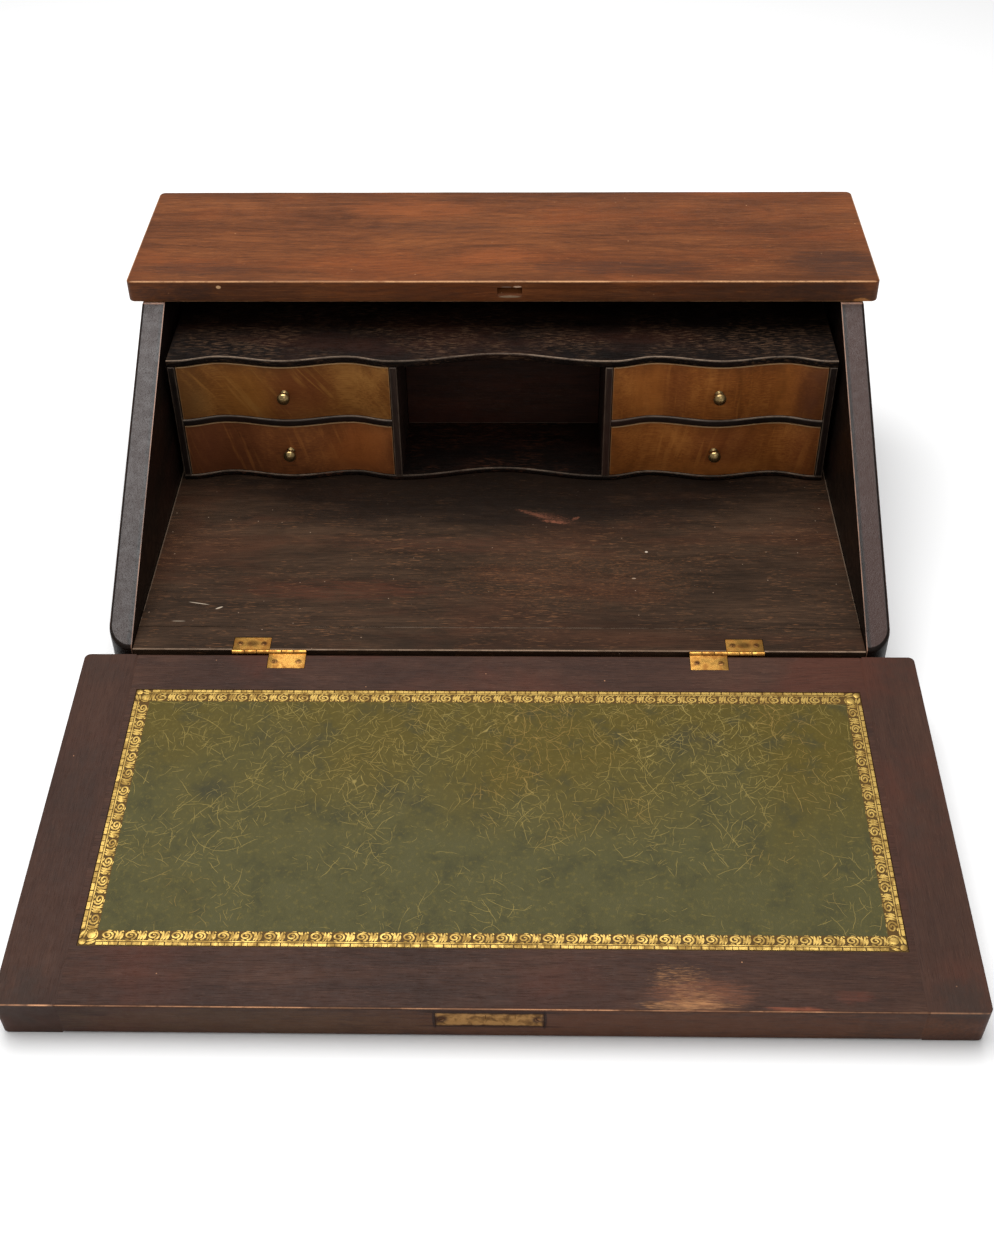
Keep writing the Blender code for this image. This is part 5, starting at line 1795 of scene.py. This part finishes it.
@dataclass
class Cabinet:
    """The small cabinet: serpentine boards, uprights, drawers and knobs."""

    drawer_recess: float = 0.0072
    pigeonhole_recess: float = 0.0120
    setback: float = 0.0012
    step: float = 0.0015
    nose: float = 0.0012
    drawer_nose: float = 0.0006
    behind: float = 0.0004
    clear: float = 0.03
    uprights: tuple[str, ...] = ("cabinet_left_side", "cabinet_right_side", "left_divider", "right_divider")

    def __post_init__(self) -> None:
        """Take the bays from the solids."""
        self.front_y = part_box("cabinet_top")[0].y
        self.hole_half, self.bay_inner = (corner.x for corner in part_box("right_divider"))
        self.bay_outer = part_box("cabinet_right_side")[0].x

    def front(self, x: np.ndarray) -> np.ndarray:
        """Y of the serpentine front.

        Each drawer bay has two hollows and the pigeonhole one; a hollow is a cosine half-wave
        between the knots, as deep as its recess.

        Args:
            x: Places across the cabinet.

        Returns:
            Y at each place.
        """
        bay = np.clip((np.abs(x) - self.bay_inner) / (self.bay_outer - self.bay_inner), 0.0, 1.0)
        knots = np.array((0.0, 0.2, 0.5, 0.8, 1.0))
        levels = np.array((0.0, 1.0, 0.0, 1.0, 0.0))
        index = np.clip(np.searchsorted(knots, bay, side="right") - 1, 0, 3)
        along = (bay - knots[index]) / (knots[index + 1] - knots[index])
        eased = (1.0 - np.cos(math.pi * along)) / 2
        wave = levels[index] + (levels[index + 1] - levels[index]) * eased
        hollow = (1.0 + np.cos(math.pi * np.clip(x / self.hole_half, -1.0, 1.0))) / 2
        return self.front_y + self.drawer_recess * wave + self.pigeonhole_recess * hollow

    def serpentine(
        self, name: str, node: str, setback: float, nose: float, steps: int, front_paleness: float
    ) -> bpy.types.Object:
        """A board with a straight back and the serpentine front, its front arrises rounded.

        The section runs from the lower back corner, round a nose of quarter circles, to the upper
        back corner, and is carried along X while its front follows the serpentine. The mesh's own value
        "arris" is 1 on the upper rounding, where a pale line is painted: wear and a painted highlight.

        Args:
            name: Name of the piece.
            node: The solid that it stands for.
            setback: How far it stands behind the carcass front.
            nose: Radius of its front arrises.
            steps: Points in each rounding.
            front_paleness: How pale the painted line is at the front of the upper rounding, against 1 at its
                top.

        Returns:
            The piece.
        """
        low, high = (np.array(corner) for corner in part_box(node))
        count = int(round((high[0] - low[0]) / self.step)) + 1
        x = np.linspace(low[0], high[0], count)
        angle = np.linspace(0.0, math.pi / 2, steps)
        inset = nose * (1.0 - np.cos(angle))
        rise = nose * (1.0 - np.sin(angle))
        behind = [nose + self.behind]
        front_y = np.concatenate((behind, inset[::-1], [0.0], inset, behind))
        lower, upper = [low[2]], [high[2]]
        shoulder = [high[2] - nose - self.behind]
        z = np.concatenate((lower, low[2] + rise[::-1], shoulder, high[2] - rise, upper, upper, lower))
        # The pale arris line: wear and a painted highlight, full at the top of the upper rounding.
        rubbed = np.concatenate((np.zeros(steps + 2), np.linspace(front_paleness, 1.0, steps), np.zeros(3)))
        y = self.front(x)[:, None] + setback + front_y[None, :]
        y = np.hstack((y, np.full((count, 2), high[1])))
        points = np.stack((np.broadcast_to(x[:, None], y.shape), y, np.broadcast_to(z, y.shape)), axis=-1)
        piece = make_piece(name, points, carried(*y.shape, -1), crease=32.0)
        piece.data.attributes.new("arris", "FLOAT", "POINT").data.foreach_set("value", np.tile(rubbed, count))
        return piece

    def build(self) -> None:
        """Make the serpentine boards and drawers, and dress the rest."""
        woods = {
            "cabinet_top": ROUGH_WOOD,
            "cabinet_base": BASE_WOOD,
            "left_drawer_shelf": CABINET_WOOD,
            "right_drawer_shelf": CABINET_WOOD,
        }
        for node, wood in woods.items():
            piece = self.serpentine(f"{node}_board", node, 0.0, self.nose, steps=4, front_paleness=0.0)
            finish = wood.material(Board.of_node(node, arris="arris"), Grain.ALONG_X)
            place_piece(piece, finish, "case", node)
        for node in self.uprights:
            wood = DIVIDER_WOOD if "divider" in node else UPRIGHT_WOOD
            dress_node(node, wood.material(Board.of_node(node), Grain.ALONG_Z))
        hole_back = Board.of_node("pigeonhole_back")
        hole_back = hole_back.grown((self.clear, 0.0, 0.0), (self.clear, 0.0, self.clear))
        dress_node("pigeonhole_back", HOLE_WOOD.material(hole_back, Grain.ALONG_X))
        for key, veneer in VENEERS.items():
            self.build_drawer(f"{key}_drawer", veneer)

    def build_drawer(self, body: str, veneer: VeneerFinish) -> None:
        """One drawer: a serpentine front, a knob and a plain lining.

        Args:
            body: The drawer's body, which also begins its pieces' names.
            veneer: Finish of its front.
        """
        node = f"{body}_front"
        name = f"{body}_serpentine_front"
        front = self.serpentine(name, node, self.setback, self.drawer_nose, steps=3, front_paleness=0.9)
        finish = veneer.material(Board.of_node(node, arris="arris"))
        place_piece(front, finish, body, node)
        grains = {"side": Grain.ALONG_Y, "back": Grain.ALONG_X, "bottom": Grain.ALONG_X}
        for part in ("left_side", "right_side", "back", "bottom"):
            board = Board.of_node(f"{body}_{part}")
            dress_node(f"{body}_{part}", LINING_WOOD.material(board, grains[part.split("_")[-1]]))
        low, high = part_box(node)
        middle_x, middle_z = (low.x + high.x) / 2, (low.z + high.z) / 2
        face_y = float(self.front(np.array([middle_x]))[0]) + self.setback
        Knob(body).build(np.array((middle_x, face_y, middle_z)))


@dataclass
class Knob:
    """A small turned brass knob: flange, neck, collar and a flattened ball."""

    body: str
    spokes: int = 48

    def profile(self) -> np.ndarray:
        """Radius and height of the turning, from the foot to the tip, in metres.

        Returns:
            Array of (radius, height).
        """
        flange = ((0.4, 0.0), (3.6, 0.15), (3.8, 0.6), (3.6, 1.05), (2.9, 1.45))
        neck = ((2.5, 2.0), (2.4, 2.8), (2.6, 3.4), (3.4, 3.8), (3.6, 4.15), (3.4, 4.5))
        angle = np.radians(np.linspace(-52.0, 84.0, 16))
        head = np.stack((5.6 * np.cos(angle), 8.0 + 4.2 * np.sin(angle)), axis=1)
        return np.vstack((flange, neck, head)) / MM_PER_METRE

    def build(self, foot: np.ndarray) -> None:
        """Turn the profile round the knob's axis.

        Args:
            foot: Where the knob meets the drawer front.
        """
        radius, height = self.profile().T[:, :, None]
        angle = np.linspace(0.0, 2 * math.pi, self.spokes, endpoint=False)
        x, z = foot[0] + radius * np.cos(angle), foot[2] + radius * np.sin(angle)
        points = np.stack((x, np.broadcast_to(foot[1] - height, x.shape), z), axis=-1)
        knob = make_piece(f"{self.body}_turned_knob", points, carried(*x.shape), crease=50.0)
        place_piece(knob, KNOB_BRASS.material(), self.body, f"{self.body}_knob")


def main() -> None:
    """Build the desk's looks, sub-assembly by sub-assembly."""
    logging.basicConfig(level=logging.INFO, format="%(name)s: %(message)s")
    Stage().build()
    space = FallSpace.from_record(frame["record"])
    Case().build()
    Cabinet().build()
    Fall(space).build()
    Hinges(space).build()


if __name__ == "__main__":
    main()
